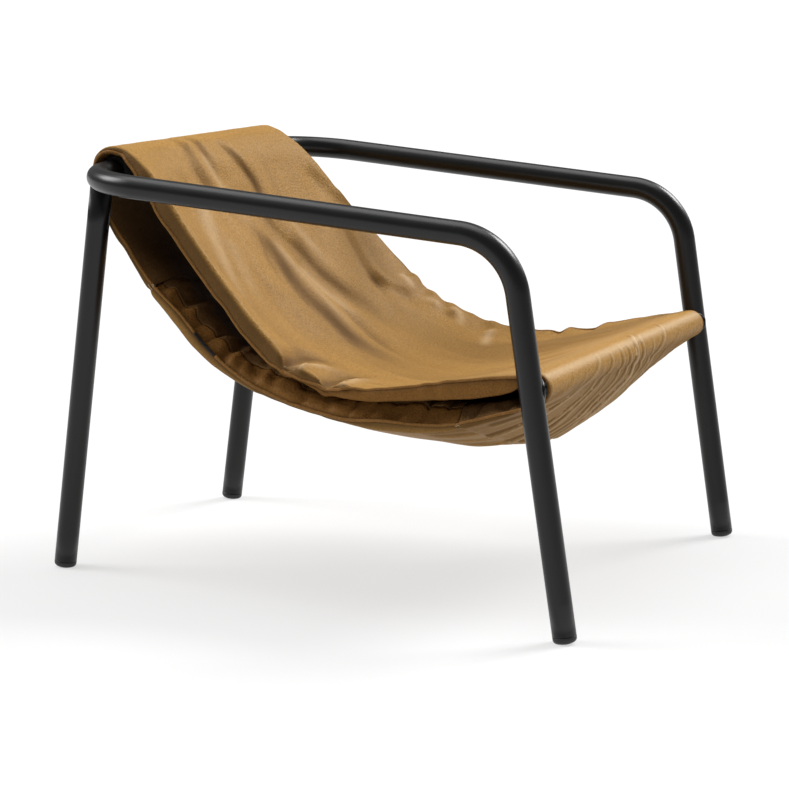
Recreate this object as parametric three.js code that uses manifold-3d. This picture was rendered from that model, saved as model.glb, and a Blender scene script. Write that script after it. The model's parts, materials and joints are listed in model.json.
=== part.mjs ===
// A lounge chair: one padded leather sling hung as a closed loop round two bars of a bent steel tube frame.
// Millimetres, +Z up. The front of the chair faces -Y, the sitter's right is -X, and the floor is z = 0.
// The origin lies on the floor, midway between the feet.

import * as THREE from 'three';
import { mergeVertices } from 'three/addons/utils/BufferGeometryUtils.js';
import Module from 'manifold-3d';

const wasm = await Module();
wasm.setup();

// Steel tube frame, by the middles of its tubes. A reach is measured forwards or backwards from the origin.
const tubeDiameter = 32;
const tubeWall = 2;
const frontFootHalfWidth = 331;
const armFrontOutset = 0.5;
const armRearOutset = 7.8;
const rearFootInset = 78.6;
const frontFootReach = 403.1;
const frontLegLean = 81.1;
const rearBarReach = 325.9;
const rearLegLean = 77.2;
const armFrontHeight = 519.1;
const armRise = 53.2;
const frontBendRadius = 90;
const rearBendRadius = 101;
const crossbarHeight = 326;
const rearLegCopeDepth = 12;

// Plastic foot glides
const glideHeadHeight = 9;
const glideEdgeRadius = 6;
const glideDome = 1.6;
const glideDomeShoulderShare = 0.75;
const glideFlat = 0.8;
const glidePlugLength = 22;
const glidePlugTaperLength = 3;
const glidePlugTaper = 1.5;

// Foam sleeve on the rear bar
const sleeveDiameter = 47;
const sleeveEndInset = 9;

// Leather sling. Its insets are from the middles of the rear and front legs.
const slingRearInset = 21.4;
const slingFrontInset = 26.3;
const leatherThickness = 1.2;
const liningThickness = 0.8;
const waddingThinnest = 0.8;
const seatDrop = 136;
const seatSag = 26;
const seatLoft = 20;
const underDrop = 192;
const underSag = 66;
const underLoft = 18;
const bandThickness = 1.4;
const pipingDiameter = 3;
const foldDepth = 5;
const foldHalfWidth = 40;

// Zip in the lower edge band
const zipLength = 46;
const zipWidth = 2.6;
const zipThickness = 1;
const zipInset = 1;

// Clearances
const jointGap = 0.3;
const wrapGap = 0.5;

// Counts of facets
const tubeSides = 24;
const bendSteps = 9;
const glideSides = 20;
const glideEdgeSteps = 4;
const wrapSteps = 10;
const pipingSides = 5;
const zipBendSteps = 4;

// Colours, roughness and metalness of the finishes
const blackPaint = { color: 0x17181a, roughness: 0.42, metalness: 0.35 };
const blackNylon = { color: 0x111213, roughness: 0.55, metalness: 0 };
const blackFoam = { color: 0x1b1b1c, roughness: 0.95, metalness: 0 };
const camelLeather = { color: 0xa87a3f, roughness: 0.42, metalness: 0 };
const bandLeather = { color: 0x936833, roughness: 0.46, metalness: 0 };
const brownLining = { color: 0x6b4b28, roughness: 0.7, metalness: 0 };
const paleWadding = { color: 0xe8e4dc, roughness: 1, metalness: 0 };
const blackTape = { color: 0x0f0f10, roughness: 0.8, metalness: 0 };

const tubeRadius = tubeDiameter / 2;
const boreRadius = tubeRadius - tubeWall;
const sleeveRadius = sleeveDiameter / 2;
const armFrontHalfWidth = frontFootHalfWidth + armFrontOutset;
const armRearHalfWidth = frontFootHalfWidth + armRearOutset;
const rearFootHalfWidth = frontFootHalfWidth - rearFootInset;
const armFrontReach = frontFootReach - frontLegLean;
const rearFootReach = rearBarReach + rearLegLean;
const rearBarHeight = armFrontHeight + armRise;
const crossbarHeightShare = crossbarHeight / armFrontHeight;
const crossbarReach = frontFootReach - frontLegLean * crossbarHeightShare;
const crossbarHalfWidth = frontFootHalfWidth + armFrontOutset * crossbarHeightShare;
const slingRearHalfWidth = rearFootHalfWidth - slingRearInset;
const slingFrontHalfWidth = crossbarHalfWidth - slingFrontInset;
const sleeveHalfLength = slingRearHalfWidth - sleeveEndInset;
const quiltThinnest = leatherThickness + jointGap + waddingThinnest + jointGap + liningThickness;

// Basic tools for closed bodies

function solidOf(geometry) {
  const bare = geometry.clone();
  bare.deleteAttribute('normal');
  bare.deleteAttribute('uv');
  const merged = mergeVertices(bare);
  return new wasm.Manifold(new wasm.Mesh({
    numProp: 3,
    vertProperties: Float32Array.from(merged.attributes.position.array),
    triVerts: Uint32Array.from(merged.index.array),
  }));
}

function geometryOf(solid) {
  const mesh = solid.getMesh();
  const geometry = new THREE.BufferGeometry();
  geometry.setAttribute('position', new THREE.BufferAttribute(mesh.vertProperties, 3));
  geometry.setIndex(new THREE.BufferAttribute(mesh.triVerts, 1));
  geometry.computeVertexNormals();
  return geometry;
}

function circlePoints(radius, sides) {
  const points = [];
  for (let side = 0; side < sides; side++) {
    const angle = 2 * Math.PI * side / sides;
    points.push(new THREE.Vector2(radius * Math.cos(angle), radius * Math.sin(angle)));
  }
  return points;
}

function ringShape(outerRadius, innerRadius) {
  const shape = new THREE.Shape(circlePoints(outerRadius, tubeSides));
  if (innerRadius > 0) shape.holes.push(new THREE.Path(circlePoints(innerRadius, tubeSides)));
  return shape;
}

// A path that is sampled only at its own stations, so straight runs need no facets of their own
class StationPath extends THREE.Curve {
  constructor(stations) {
    super();
    this.stations = stations;
  }

  getPointAt(share) {
    return this.stations[Math.round(share * (this.stations.length - 1))].clone();
  }

  getPoint(share) {
    return this.getPointAt(share);
  }

  getTangentAt(share) {
    const last = this.stations.length - 1;
    const index = Math.round(share * last);
    const tangent = new THREE.Vector3();
    for (const start of [index - 1, index]) {
      if (start < 0 || start >= last) continue;
      tangent.add(this.stations[start + 1].clone().sub(this.stations[start]).normalize());
    }
    return tangent.normalize();
  }
}

function tubeAlong(stations, outerRadius, innerRadius) {
  const path = new StationPath(stations);
  const steps = stations.length - 1;
  return new THREE.ExtrudeGeometry(ringShape(outerRadius, innerRadius), { steps, extrudePath: path });
}

// Stations along straight runs whose inner corners are rounded with an arc each
function roundedStations(corners, radii) {
  const stations = [corners[0].clone()];
  for (let index = 1; index < corners.length - 1; index++) {
    const corner = corners[index];
    const radius = radii[index - 1];
    const back = corners[index - 1].clone().sub(corner).normalize();
    const ahead = corners[index + 1].clone().sub(corner).normalize();
    const halfAngle = back.angleTo(ahead) / 2;
    const middle = back.clone().add(ahead).normalize();
    const centre = corner.clone().addScaledVector(middle, radius / Math.sin(halfAngle));
    const start = corner.clone().addScaledVector(back, radius / Math.tan(halfAngle)).sub(centre);
    const axis = back.clone().cross(ahead).normalize();
    const sweep = Math.PI - 2 * halfAngle;
    for (let step = 0; step <= bendSteps; step++) {
      const spoke = start.clone().applyAxisAngle(axis, -sweep * step / bendSteps);
      stations.push(centre.clone().add(spoke));
    }
  }
  stations.push(corners[corners.length - 1].clone());
  return stations;
}

// Where the legs and bars run

function frontFoot(side) {
  return new THREE.Vector3(side * frontFootHalfWidth, -frontFootReach, 0);
}

function frontCorner(side) {
  return new THREE.Vector3(side * armFrontHalfWidth, -armFrontReach, armFrontHeight);
}

function rearCorner(side) {
  return new THREE.Vector3(side * armRearHalfWidth, rearBarReach, rearBarHeight);
}

function rearFoot(side) {
  return new THREE.Vector3(side * rearFootHalfWidth, rearFootReach, 0);
}

function rearLegTop(side) {
  return new THREE.Vector3(side * rearFootHalfWidth, rearBarReach, rearBarHeight);
}

// A rear leg's tube reaches this far up its axis: past the bar's underside by the depth of the cope
function rearLegEnd(side) {
  const top = rearLegTop(side);
  const direction = top.clone().sub(rearFoot(side)).normalize();
  return top.addScaledVector(direction, rearLegCopeDepth - tubeRadius);
}

// The point on a leg's axis where the middle of a glide's head sits: high enough for its low edge,
// on a leaning leg, to reach the floor and be flattened there
function glideSeat(foot, top) {
  const direction = top.clone().sub(foot).normalize();
  const lean = Math.sqrt(1 - direction.z * direction.z);
  const raise = (tubeRadius - glideEdgeRadius) * lean - glideFlat;
  return foot.clone().addScaledVector(direction, raise / direction.z);
}

// The point on a leg's axis where its tube ends, just above the glide's head
function legEnd(foot, top) {
  const direction = top.clone().sub(foot).normalize();
  return glideSeat(foot, top).addScaledVector(direction, glideHeadHeight + jointGap);
}

function hoopStations() {
  const corners = [
    legEnd(frontFoot(-1), frontCorner(-1)),
    frontCorner(-1),
    rearCorner(-1),
    rearCorner(1),
    frontCorner(1),
    legEnd(frontFoot(1), frontCorner(1)),
  ];
  return roundedStations(corners, [frontBendRadius, rearBendRadius, rearBendRadius, frontBendRadius]);
}

// The space that the hoop takes with its welding gap, which its neighbours are cut back from
const hoopSpace = solidOf(tubeAlong(hoopStations(), tubeRadius + jointGap, 0));

// Front legs, arms and rear bar: one tube bent four times
function frameHoop() {
  return tubeAlong(hoopStations(), tubeRadius, boreRadius);
}

// A rear leg: a straight tube whose top is coped to sit under the rear bar
function rearLeg(side) {
  const stations = [legEnd(rearFoot(side), rearLegTop(side)), rearLegEnd(side)];
  return geometryOf(solidOf(tubeAlong(stations, tubeRadius, boreRadius)).subtract(hoopSpace));
}

// The crossbar that carries the sling's front roll, coped to both front legs
function frontCrossbar() {
  const ends = [-crossbarHalfWidth, crossbarHalfWidth];
  const stations = ends.map((x) => new THREE.Vector3(x, -crossbarReach, crossbarHeight));
  return geometryOf(solidOf(tubeAlong(stations, tubeRadius, boreRadius)).subtract(hoopSpace));
}

// A foot glide: a domed head as wide as the tube and a plug pushed up its bore, flattened where it stands
function footGlide(foot, top) {
  const plugRadius = boreRadius - jointGap;
  const plugTop = glideHeadHeight + glidePlugLength;
  const profile = [
    new THREE.Vector2(0, -glideDome),
    new THREE.Vector2((tubeRadius - glideEdgeRadius) / 2, -glideDome * glideDomeShoulderShare),
  ];
  for (let step = 0; step <= glideEdgeSteps; step++) {
    const angle = Math.PI / 2 * step / glideEdgeSteps;
    const radius = tubeRadius - glideEdgeRadius + glideEdgeRadius * Math.sin(angle);
    profile.push(new THREE.Vector2(radius, glideEdgeRadius * (1 - Math.cos(angle))));
  }
  profile.push(new THREE.Vector2(tubeRadius, glideHeadHeight));
  profile.push(new THREE.Vector2(plugRadius, glideHeadHeight));
  profile.push(new THREE.Vector2(plugRadius, plugTop - glidePlugTaperLength));
  profile.push(new THREE.Vector2(plugRadius - glidePlugTaper, plugTop));
  profile.push(new THREE.Vector2(0, plugTop));
  const glide = new THREE.LatheGeometry(profile, glideSides);
  const direction = top.clone().sub(foot).normalize();
  const turn = new THREE.Quaternion().setFromUnitVectors(new THREE.Vector3(0, 1, 0), direction);
  glide.applyQuaternion(turn);
  const seat = glideSeat(foot, top);
  glide.translate(seat.x, seat.y, seat.z);
  const floor = new THREE.BoxGeometry(2 * tubeDiameter, 2 * tubeDiameter, tubeDiameter);
  floor.translate(foot.x, foot.y, -tubeDiameter / 2);
  return geometryOf(solidOf(glide).subtract(solidOf(floor)));
}

// The foam sleeve that pads the rear bar inside the sling
function rearBarSleeve() {
  const ends = [-sleeveHalfLength, sleeveHalfLength];
  const stations = ends.map((x) => new THREE.Vector3(x, rearBarReach, rearBarHeight));
  return tubeAlong(stations, sleeveRadius, tubeRadius + jointGap);
}

// The sling's side outline is a closed loop in the YZ plane. Each station holds where the outer face
// runs at the sling's edge, how far the middle bellies out there, and how thick the quilting is.

const degree = Math.PI / 180;
const spanLength = rearBarReach + crossbarReach;
const spanRise = rearBarHeight - crossbarHeight;

// Shares of each span: along from the crossbar to the rear bar, drop below the line between the
// two bars, belly of the middle and loft of the quilting
const seatSpanShares = [
  [0.962, -0.284, 0, 0.45],
  [0.94, -0.24, 0.05, 0.42],
  [0.915, -0.17, 0.15, 0.4],
  [0.885, -0.022, 0.3, 0.38],
  [0.851, 0.137, 0.45, 0.38],
  [0.8, 0.323, 0.6, 0.42],
  [0.733, 0.566, 0.8, 0.5],
  [0.667, 0.782, 0.9, 0.6],
  [0.6, 0.922, 1, 0.75],
  [0.519, 1, 1, 0.9],
  [0.446, 0.965, 1, 1],
  [0.372, 0.843, 1, 1],
  [0.298, 0.672, 0.9, 1],
  [0.2245, 0.465, 0.8, 1],
  [0.151, 0.258, 0.55, 0.85],
  [0.077, 0.059, 0.2, 0.45],
  [0.033, -0.061, 0, 0.02],
];
const underSpanShares = [
  [0.033, 0.21, 0.4, 0.1],
  [0.077, 0.328, 0.65, 0.3],
  [0.164, 0.544, 0.95, 0.5],
  [0.24, 0.69, 1, 0.6],
  [0.316, 0.79, 1, 0.65],
  [0.4235, 0.907, 1, 0.7],
  [0.519, 0.968, 1, 0.75],
  [0.598, 1, 0.95, 0.9],
  [0.677, 1.004, 0.85, 1],
  [0.758, 0.952, 0.72, 1],
  [0.847, 0.8, 0.55, 0.85],
  [0.897, 0.713, 0.45, 0.65],
  [0.95, 0.583, 0.35, 0.45],
  [1.003, 0.417, 0.2, 0.45],
  [1.024, 0.272, 0.08, 0.18],
];
// Loft of the quilting over the rear bar, from its back to its front, as shares of the seat's loft
const rearWrapLoftShares = [0, 0, 0.03, 0.09, 0.17, 0.26, 0.33, 0.39, 0.43, 0.45, 0.45];
const rearWrapStart = -20 * degree;
const rearWrapEnd = 112 * degree;
const frontWrapStart = 80 * degree;
const frontWrapEnd = 250 * degree;
const underBellyAtWrapShare = 0.1;
// How many steps along the under span each cross seam lies
const frontSeamSteps = 2;
const rearSeamSteps = 11;
const zipSteps = 9;

function spanStation([along, drop, belly, loft], dropSize, bellySize, loftSize) {
  return {
    y: -crossbarReach + along * spanLength,
    z: crossbarHeight + along * spanRise - drop * dropSize,
    belly: belly * bellySize,
    loft: loft * loftSize,
  };
}

function wrapStation(angle, centreY, centreZ, innerRadius, loft, belly) {
  const radius = innerRadius + quiltThinnest + loft;
  return { y: centreY + radius * Math.cos(angle), z: centreZ + radius * Math.sin(angle), belly, loft };
}

function loopStations() {
  const stations = [];
  for (let step = 0; step <= wrapSteps; step++) {
    const angle = rearWrapStart + (rearWrapEnd - rearWrapStart) * step / wrapSteps;
    const loft = rearWrapLoftShares[step] * seatLoft;
    stations.push(wrapStation(angle, rearBarReach, rearBarHeight, sleeveRadius + wrapGap, loft, 0));
  }
  for (const shares of seatSpanShares) stations.push(spanStation(shares, seatDrop, -seatSag, seatLoft));
  for (let step = 0; step <= wrapSteps; step++) {
    const angle = frontWrapStart + (frontWrapEnd - frontWrapStart) * step / wrapSteps;
    const belly = step === wrapSteps ? underBellyAtWrapShare * underSag : 0;
    stations.push(wrapStation(angle, -crossbarReach, crossbarHeight, tubeRadius + wrapGap, 0, belly));
  }
  for (const shares of underSpanShares) stations.push(spanStation(shares, underDrop, underSag, underLoft));
  return stations;
}

const slingStations = loopStations();
const outline = new THREE.CatmullRomCurve3(
  slingStations.map(({ y, z }) => new THREE.Vector3(0, y, z)), true, 'centripetal');

// The seat panel runs from the rear seam over both bars to the front seam, the under panel back again
const seatSpanFirst = wrapSteps + 1;
const frontWrapFirst = seatSpanFirst + seatSpanShares.length;
const underSpanFirst = frontWrapFirst + wrapSteps + 1;
const frontSeamStation = underSpanFirst + frontSeamSteps;
const rearSeamStation = underSpanFirst + rearSeamSteps;

function lerpStations(place, key) {
  const index = Math.floor(place) % slingStations.length;
  const next = (index + 1) % slingStations.length;
  const share = place - Math.floor(place);
  return slingStations[index][key] * (1 - share) + slingStations[next][key] * share;
}

const straightShare = 0.03;
const flareShare = 0.24;

// Half the sling's width where its outline is this far along: narrow at the rear bar, wide at the front
function halfWidthAt(y) {
  const along = Math.max(0, (rearBarReach - y) / spanLength - straightShare);
  const growth = 1 - Math.exp(-along / flareShare);
  return slingRearHalfWidth + (slingFrontHalfWidth - slingRearHalfWidth) * growth;
}

const tangentStationShare = 0.02;

// The row of the sling at a place counted in stations: its edge point, outward normal and sizes
function rowAt(place) {
  const count = slingStations.length;
  const share = (place % count) / count;
  const point = outline.getPoint(share);
  const step = tangentStationShare / count;
  const tangent = outline.getPoint((share + step) % 1).sub(outline.getPoint((share - step + 1) % 1));
  const speed = tangent.length() / (2 * step * count);
  tangent.normalize();
  return {
    point,
    normal: new THREE.Vector3(0, tangent.z, -tangent.y),
    belly: lerpStations(place, 'belly'),
    loft: lerpStations(place, 'loft'),
    halfWidth: halfWidthAt(point.y),
    along: (point.y + crossbarReach) / spanLength,
    speed,
  };
}

const edgeLoftShare = 0.8;
const crownPower = 6;

// How thick the quilting is: nearly even across its width, and thinner beside its edges
function thicknessAt(row, across) {
  const crown = edgeLoftShare + (1 - edgeLoftShare) * (1 - across ** crownPower);
  return quiltThinnest + row.loft * crown;
}

// The long folds that run slantwise from the rear bar down into the seat. Each has its across share
// and its along share at its rear end, then the same at its front end.
const seatFoldShares = [
  [0.2, 0.95, 0.52, 0.56],
  [-0.24, 0.97, 0.04, 0.42],
  [-0.62, 0.9, -0.5, 0.6],
  [0.62, 0.72, 0.9, 0.42],
];

// How deep the folds press the outer face in: only the seat span, whose middle hangs inwards, has them
function foldAt(row, across) {
  if (row.belly >= 0) return 0;
  let depth = 0;
  for (const [rearAcross, rearAlong, frontAcross, frontAlong] of seatFoldShares) {
    const share = (rearAlong - row.along) / (rearAlong - frontAlong);
    if (share <= 0 || share >= 1) continue;
    const foldAcross = rearAcross + (frontAcross - rearAcross) * share;
    const aside = (across - foldAcross) * row.halfWidth / foldHalfWidth;
    depth += foldDepth * Math.sin(Math.PI * share) * Math.exp(-aside * aside);
  }
  return depth;
}

const bellyPower = 1.2;

// A point of the sling: across runs from -1 to 1, depth is measured inwards from the outer face
function slingPoint(row, across, depth, beyond = 0) {
  const belly = row.belly * (1 - across * across) ** bellyPower - foldAt(row, across);
  const point = row.point.clone().addScaledVector(row.normal, belly - depth);
  point.x = across * row.halfWidth + Math.sign(across) * beyond;
  return point;
}

// Rows of a panel between two seams, each end drawn back by half the gap between the panels
function panelRows(first, last) {
  const places = [];
  for (let place = first; place <= last; place++) places.push(place);
  places[0] += jointGap / 2 / rowAt(first).speed;
  places[places.length - 1] -= jointGap / 2 / rowAt(last).speed;
  return places.map((place) => rowAt(place));
}

const seatRows = panelRows(rearSeamStation, frontSeamStation + slingStations.length);
const underRows = panelRows(frontSeamStation, rearSeamStation);

// A closed body lofted through rings of as many points each, with a fan or a grid closing both ends.
// The second half of each ring splits its quads the other way, so that both faces of a layer, which
// the ring runs along out and back, have the same facets as the faces of the layers next to it.
function loftGeometry(rings, closeEnd) {
  const count = rings[0].length;
  const positions = rings.flat().flatMap((point) => [point.x, point.y, point.z]);
  const indices = [];
  for (let ring = 0; ring < rings.length - 1; ring++) {
    for (let side = 0; side < count; side++) {
      const a = ring * count + side;
      const b = ring * count + (side + 1) % count;
      if (side < count / 2) indices.push(a, b, b + count, a, b + count, a + count);
      else indices.push(a, b, a + count, b, b + count, a + count);
    }
  }
  const lastRing = (rings.length - 1) * count;
  for (const [a, b, c] of closeEnd(count)) {
    indices.push(c, b, a);
    indices.push(lastRing + a, lastRing + b, lastRing + c);
  }
  const geometry = new THREE.BufferGeometry();
  geometry.setAttribute('position', new THREE.Float32BufferAttribute(positions, 3));
  geometry.setIndex(indices);
  geometry.computeVertexNormals();
  return geometry;
}

function fanEnd(count) {
  const triangles = [];
  for (let side = 1; side < count - 1; side++) triangles.push([0, side, side + 1]);
  return triangles;
}

// The end of a flat ring that runs out along one face and back along the other
function stripEnd(count) {
  const triangles = [];
  for (let side = 0; side < count / 2 - 1; side++) {
    triangles.push([side, side + 1, count - 2 - side]);
    triangles.push([side, count - 2 - side, count - 1 - side]);
  }
  return triangles;
}

const acrossShares = [-1, -0.93, -0.78, -0.59, -0.4, -0.2, 0, 0.2, 0.4, 0.59, 0.78, 0.93, 1];

// One layer of the quilting between two depths, which are functions of the quilting's whole thickness
function slingLayer(rows, outerDepth, innerDepth) {
  const rings = rows.map((row) => {
    const outer = acrossShares.map((across) => {
      return slingPoint(row, across, outerDepth(thicknessAt(row, across)));
    });
    const inner = acrossShares.map((across) => {
      return slingPoint(row, across, innerDepth(thicknessAt(row, across)));
    });
    return [...inner, ...outer.reverse()];
  });
  return loftGeometry(rings, stripEnd);
}

// The leather that faces outwards
function leatherLayer(rows) {
  return slingLayer(rows, () => 0, () => leatherThickness);
}

// The wadding between the leather and the lining
function waddingLayer(rows) {
  const outer = leatherThickness + jointGap;
  return slingLayer(rows, () => outer, (thickness) => thickness - liningThickness - jointGap);
}

// The lining that faces the inside of the loop
function liningLayer(rows) {
  return slingLayer(rows, (thickness) => thickness - liningThickness, (thickness) => thickness);
}

const bandBulgeShare = 0.12;

// The narrow band that closes the quilting's side, with its outer face swelling a little
function edgeBand(rows, side) {
  const rings = rows.map((row) => {
    const height = thicknessAt(row, side);
    const inner = jointGap;
    const outer = jointGap + bandThickness;
    const ring = [
      slingPoint(row, side, height, inner),
      slingPoint(row, side, height, outer),
      slingPoint(row, side, height / 2, outer + height * bandBulgeShare),
      slingPoint(row, side, 0, outer),
      slingPoint(row, side, 0, inner),
    ];
    return side < 0 ? ring.reverse() : ring;
  });
  return loftGeometry(rings, fanEnd);
}

// The piping sewn along a seam of the band: on the seat's outer edge, and on the under panel's inner edge
function piping(rows, side, isOuter) {
  const radius = pipingDiameter / 2;
  const rings = rows.map((row) => {
    const clear = radius + jointGap;
    const depth = isOuter ? -clear : thicknessAt(row, side) + clear;
    const ring = circlePoints(radius, pipingSides).map((offset) => {
      return slingPoint(row, side, depth - offset.y, jointGap + bandThickness / 2 + offset.x);
    });
    return side < 0 ? ring.reverse() : ring;
  });
  return loftGeometry(rings, fanEnd);
}

// The stretch of closed zip that shows under the piping of the lower band on the sitter's right.
// The band swells in a straight slope from its edge to half its height, and the zip lies on that slope.
function edgeZip(side) {
  const centre = underSpanFirst + zipSteps;
  const halfSpan = zipLength / 2 / rowAt(centre).speed;
  const rows = [];
  for (let step = 0; step <= zipBendSteps; step++) {
    rows.push(rowAt(centre + halfSpan * (2 * step / zipBendSteps - 1)));
  }
  const rings = rows.map((row) => {
    const height = thicknessAt(row, side);
    const near = zipInset;
    const far = zipInset + zipWidth;
    const slope = 2 * bandBulgeShare;
    const lift = jointGap + bandThickness + jointGap;
    const ring = [
      slingPoint(row, side, height - near, lift + near * slope),
      slingPoint(row, side, height - near, lift + near * slope + zipThickness),
      slingPoint(row, side, height - far, lift + far * slope + zipThickness),
      slingPoint(row, side, height - far, lift + far * slope),
    ];
    return side < 0 ? ring.reverse() : ring;
  });
  return loftGeometry(rings, fanEnd);
}

// The chair

const chair = new THREE.Group();
const sides = [['right', -1], ['left', 1]];

function addPiece(name, geometry, finish) {
  const mesh = new THREE.Mesh(geometry, new THREE.MeshStandardMaterial(finish));
  mesh.name = name;
  chair.add(mesh);
}

addPiece('frame_hoop', frameHoop(), blackPaint);
addPiece('front_crossbar', frontCrossbar(), blackPaint);
addPiece('rear_bar_sleeve', rearBarSleeve(), blackFoam);
for (const [name, side] of sides) {
  addPiece(`rear_leg_${name}`, rearLeg(side), blackPaint);
  addPiece(`front_foot_glide_${name}`, footGlide(frontFoot(side), frontCorner(side)), blackNylon);
  addPiece(`rear_foot_glide_${name}`, footGlide(rearFoot(side), rearLegTop(side)), blackNylon);
}
addPiece('seat_leather', leatherLayer(seatRows), camelLeather);
addPiece('seat_wadding', waddingLayer(seatRows), paleWadding);
addPiece('seat_lining', liningLayer(seatRows), brownLining);
addPiece('under_leather', leatherLayer(underRows), camelLeather);
addPiece('under_wadding', waddingLayer(underRows), paleWadding);
addPiece('under_lining', liningLayer(underRows), brownLining);
for (const [name, side] of sides) {
  addPiece(`seat_edge_band_${name}`, edgeBand(seatRows, side), bandLeather);
  addPiece(`under_edge_band_${name}`, edgeBand(underRows, side), bandLeather);
  addPiece(`seat_piping_${name}`, piping(seatRows, side, true), bandLeather);
  addPiece(`under_piping_${name}`, piping(underRows, side, false), bandLeather);
}
addPiece('under_edge_zip', edgeZip(-1), blackTape);

export default chair;
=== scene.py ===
"""A lounge chair: one padded leather sling hung as a closed loop round two bars of a bent steel tube frame.

+Z is up, the front of the chair faces -Y and the sitter's right is -X. Sizes are in metres, and from the sling's
sections on in millimetres, until a mesh is made.
"""
import json
import math
import bpy
import numpy as np
from mathutils import Euler, Vector
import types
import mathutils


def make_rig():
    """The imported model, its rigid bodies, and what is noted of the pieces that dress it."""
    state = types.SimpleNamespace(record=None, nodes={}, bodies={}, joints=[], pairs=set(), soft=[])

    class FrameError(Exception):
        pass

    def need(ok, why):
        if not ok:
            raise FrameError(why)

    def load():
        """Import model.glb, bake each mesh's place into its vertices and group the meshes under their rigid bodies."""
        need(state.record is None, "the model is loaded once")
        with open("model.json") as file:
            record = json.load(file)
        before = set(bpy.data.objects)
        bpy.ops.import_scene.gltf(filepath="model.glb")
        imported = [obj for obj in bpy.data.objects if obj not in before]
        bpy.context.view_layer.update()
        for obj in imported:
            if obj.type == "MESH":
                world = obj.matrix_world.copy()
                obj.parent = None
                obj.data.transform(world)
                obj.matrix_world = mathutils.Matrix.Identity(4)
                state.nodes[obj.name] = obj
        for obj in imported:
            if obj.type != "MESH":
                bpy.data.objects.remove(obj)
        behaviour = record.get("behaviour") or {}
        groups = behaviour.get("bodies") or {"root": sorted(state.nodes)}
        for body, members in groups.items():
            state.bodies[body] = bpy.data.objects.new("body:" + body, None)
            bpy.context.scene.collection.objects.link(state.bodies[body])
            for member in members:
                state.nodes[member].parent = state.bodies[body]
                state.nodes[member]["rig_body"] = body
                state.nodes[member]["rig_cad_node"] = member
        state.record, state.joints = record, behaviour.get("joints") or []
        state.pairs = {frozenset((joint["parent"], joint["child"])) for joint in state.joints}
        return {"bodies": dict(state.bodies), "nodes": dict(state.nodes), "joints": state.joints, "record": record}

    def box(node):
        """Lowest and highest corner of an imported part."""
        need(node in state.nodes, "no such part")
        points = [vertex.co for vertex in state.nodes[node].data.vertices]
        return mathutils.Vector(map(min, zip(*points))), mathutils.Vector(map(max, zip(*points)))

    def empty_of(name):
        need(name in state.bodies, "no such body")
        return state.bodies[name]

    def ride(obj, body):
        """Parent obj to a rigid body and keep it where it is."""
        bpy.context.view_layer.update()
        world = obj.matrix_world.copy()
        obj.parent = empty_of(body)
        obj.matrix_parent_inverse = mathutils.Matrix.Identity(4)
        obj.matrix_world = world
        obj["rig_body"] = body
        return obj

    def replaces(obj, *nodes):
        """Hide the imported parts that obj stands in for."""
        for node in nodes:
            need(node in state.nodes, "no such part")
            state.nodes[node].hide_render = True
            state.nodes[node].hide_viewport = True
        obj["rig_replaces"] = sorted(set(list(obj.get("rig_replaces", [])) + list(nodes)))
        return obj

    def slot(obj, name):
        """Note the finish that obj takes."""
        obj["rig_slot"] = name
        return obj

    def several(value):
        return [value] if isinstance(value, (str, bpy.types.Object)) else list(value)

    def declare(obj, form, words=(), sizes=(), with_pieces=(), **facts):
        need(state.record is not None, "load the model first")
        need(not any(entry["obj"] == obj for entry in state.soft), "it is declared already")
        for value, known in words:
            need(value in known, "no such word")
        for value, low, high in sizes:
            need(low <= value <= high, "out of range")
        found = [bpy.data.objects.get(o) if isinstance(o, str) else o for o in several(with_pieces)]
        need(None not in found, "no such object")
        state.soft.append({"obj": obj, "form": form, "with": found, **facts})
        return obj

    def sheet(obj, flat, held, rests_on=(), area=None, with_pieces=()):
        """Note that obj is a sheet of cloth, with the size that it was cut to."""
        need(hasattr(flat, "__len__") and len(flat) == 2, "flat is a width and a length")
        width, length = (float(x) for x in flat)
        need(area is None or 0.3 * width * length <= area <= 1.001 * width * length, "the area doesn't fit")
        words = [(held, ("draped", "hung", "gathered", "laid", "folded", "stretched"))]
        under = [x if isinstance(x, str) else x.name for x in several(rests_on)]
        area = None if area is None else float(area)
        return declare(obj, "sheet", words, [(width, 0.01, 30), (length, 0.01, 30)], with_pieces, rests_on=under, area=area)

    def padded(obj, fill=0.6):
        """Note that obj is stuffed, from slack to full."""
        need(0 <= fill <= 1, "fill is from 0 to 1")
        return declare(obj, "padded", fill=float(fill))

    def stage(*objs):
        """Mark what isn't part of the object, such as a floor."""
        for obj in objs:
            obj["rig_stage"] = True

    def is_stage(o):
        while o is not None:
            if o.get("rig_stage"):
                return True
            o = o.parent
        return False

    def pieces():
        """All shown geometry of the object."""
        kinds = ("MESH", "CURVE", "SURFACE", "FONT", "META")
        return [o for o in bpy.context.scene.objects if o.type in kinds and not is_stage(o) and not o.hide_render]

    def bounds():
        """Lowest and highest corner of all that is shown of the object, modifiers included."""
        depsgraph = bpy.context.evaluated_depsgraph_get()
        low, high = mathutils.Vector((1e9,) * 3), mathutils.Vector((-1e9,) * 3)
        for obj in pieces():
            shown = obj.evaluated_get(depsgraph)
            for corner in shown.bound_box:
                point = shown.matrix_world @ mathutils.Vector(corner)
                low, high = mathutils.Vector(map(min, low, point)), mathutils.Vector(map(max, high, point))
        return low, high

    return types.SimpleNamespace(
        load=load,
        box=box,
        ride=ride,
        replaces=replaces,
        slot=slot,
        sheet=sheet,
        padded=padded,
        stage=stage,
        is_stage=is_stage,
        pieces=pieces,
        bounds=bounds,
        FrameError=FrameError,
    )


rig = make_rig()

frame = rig.load()
cad_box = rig.bounds()


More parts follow.
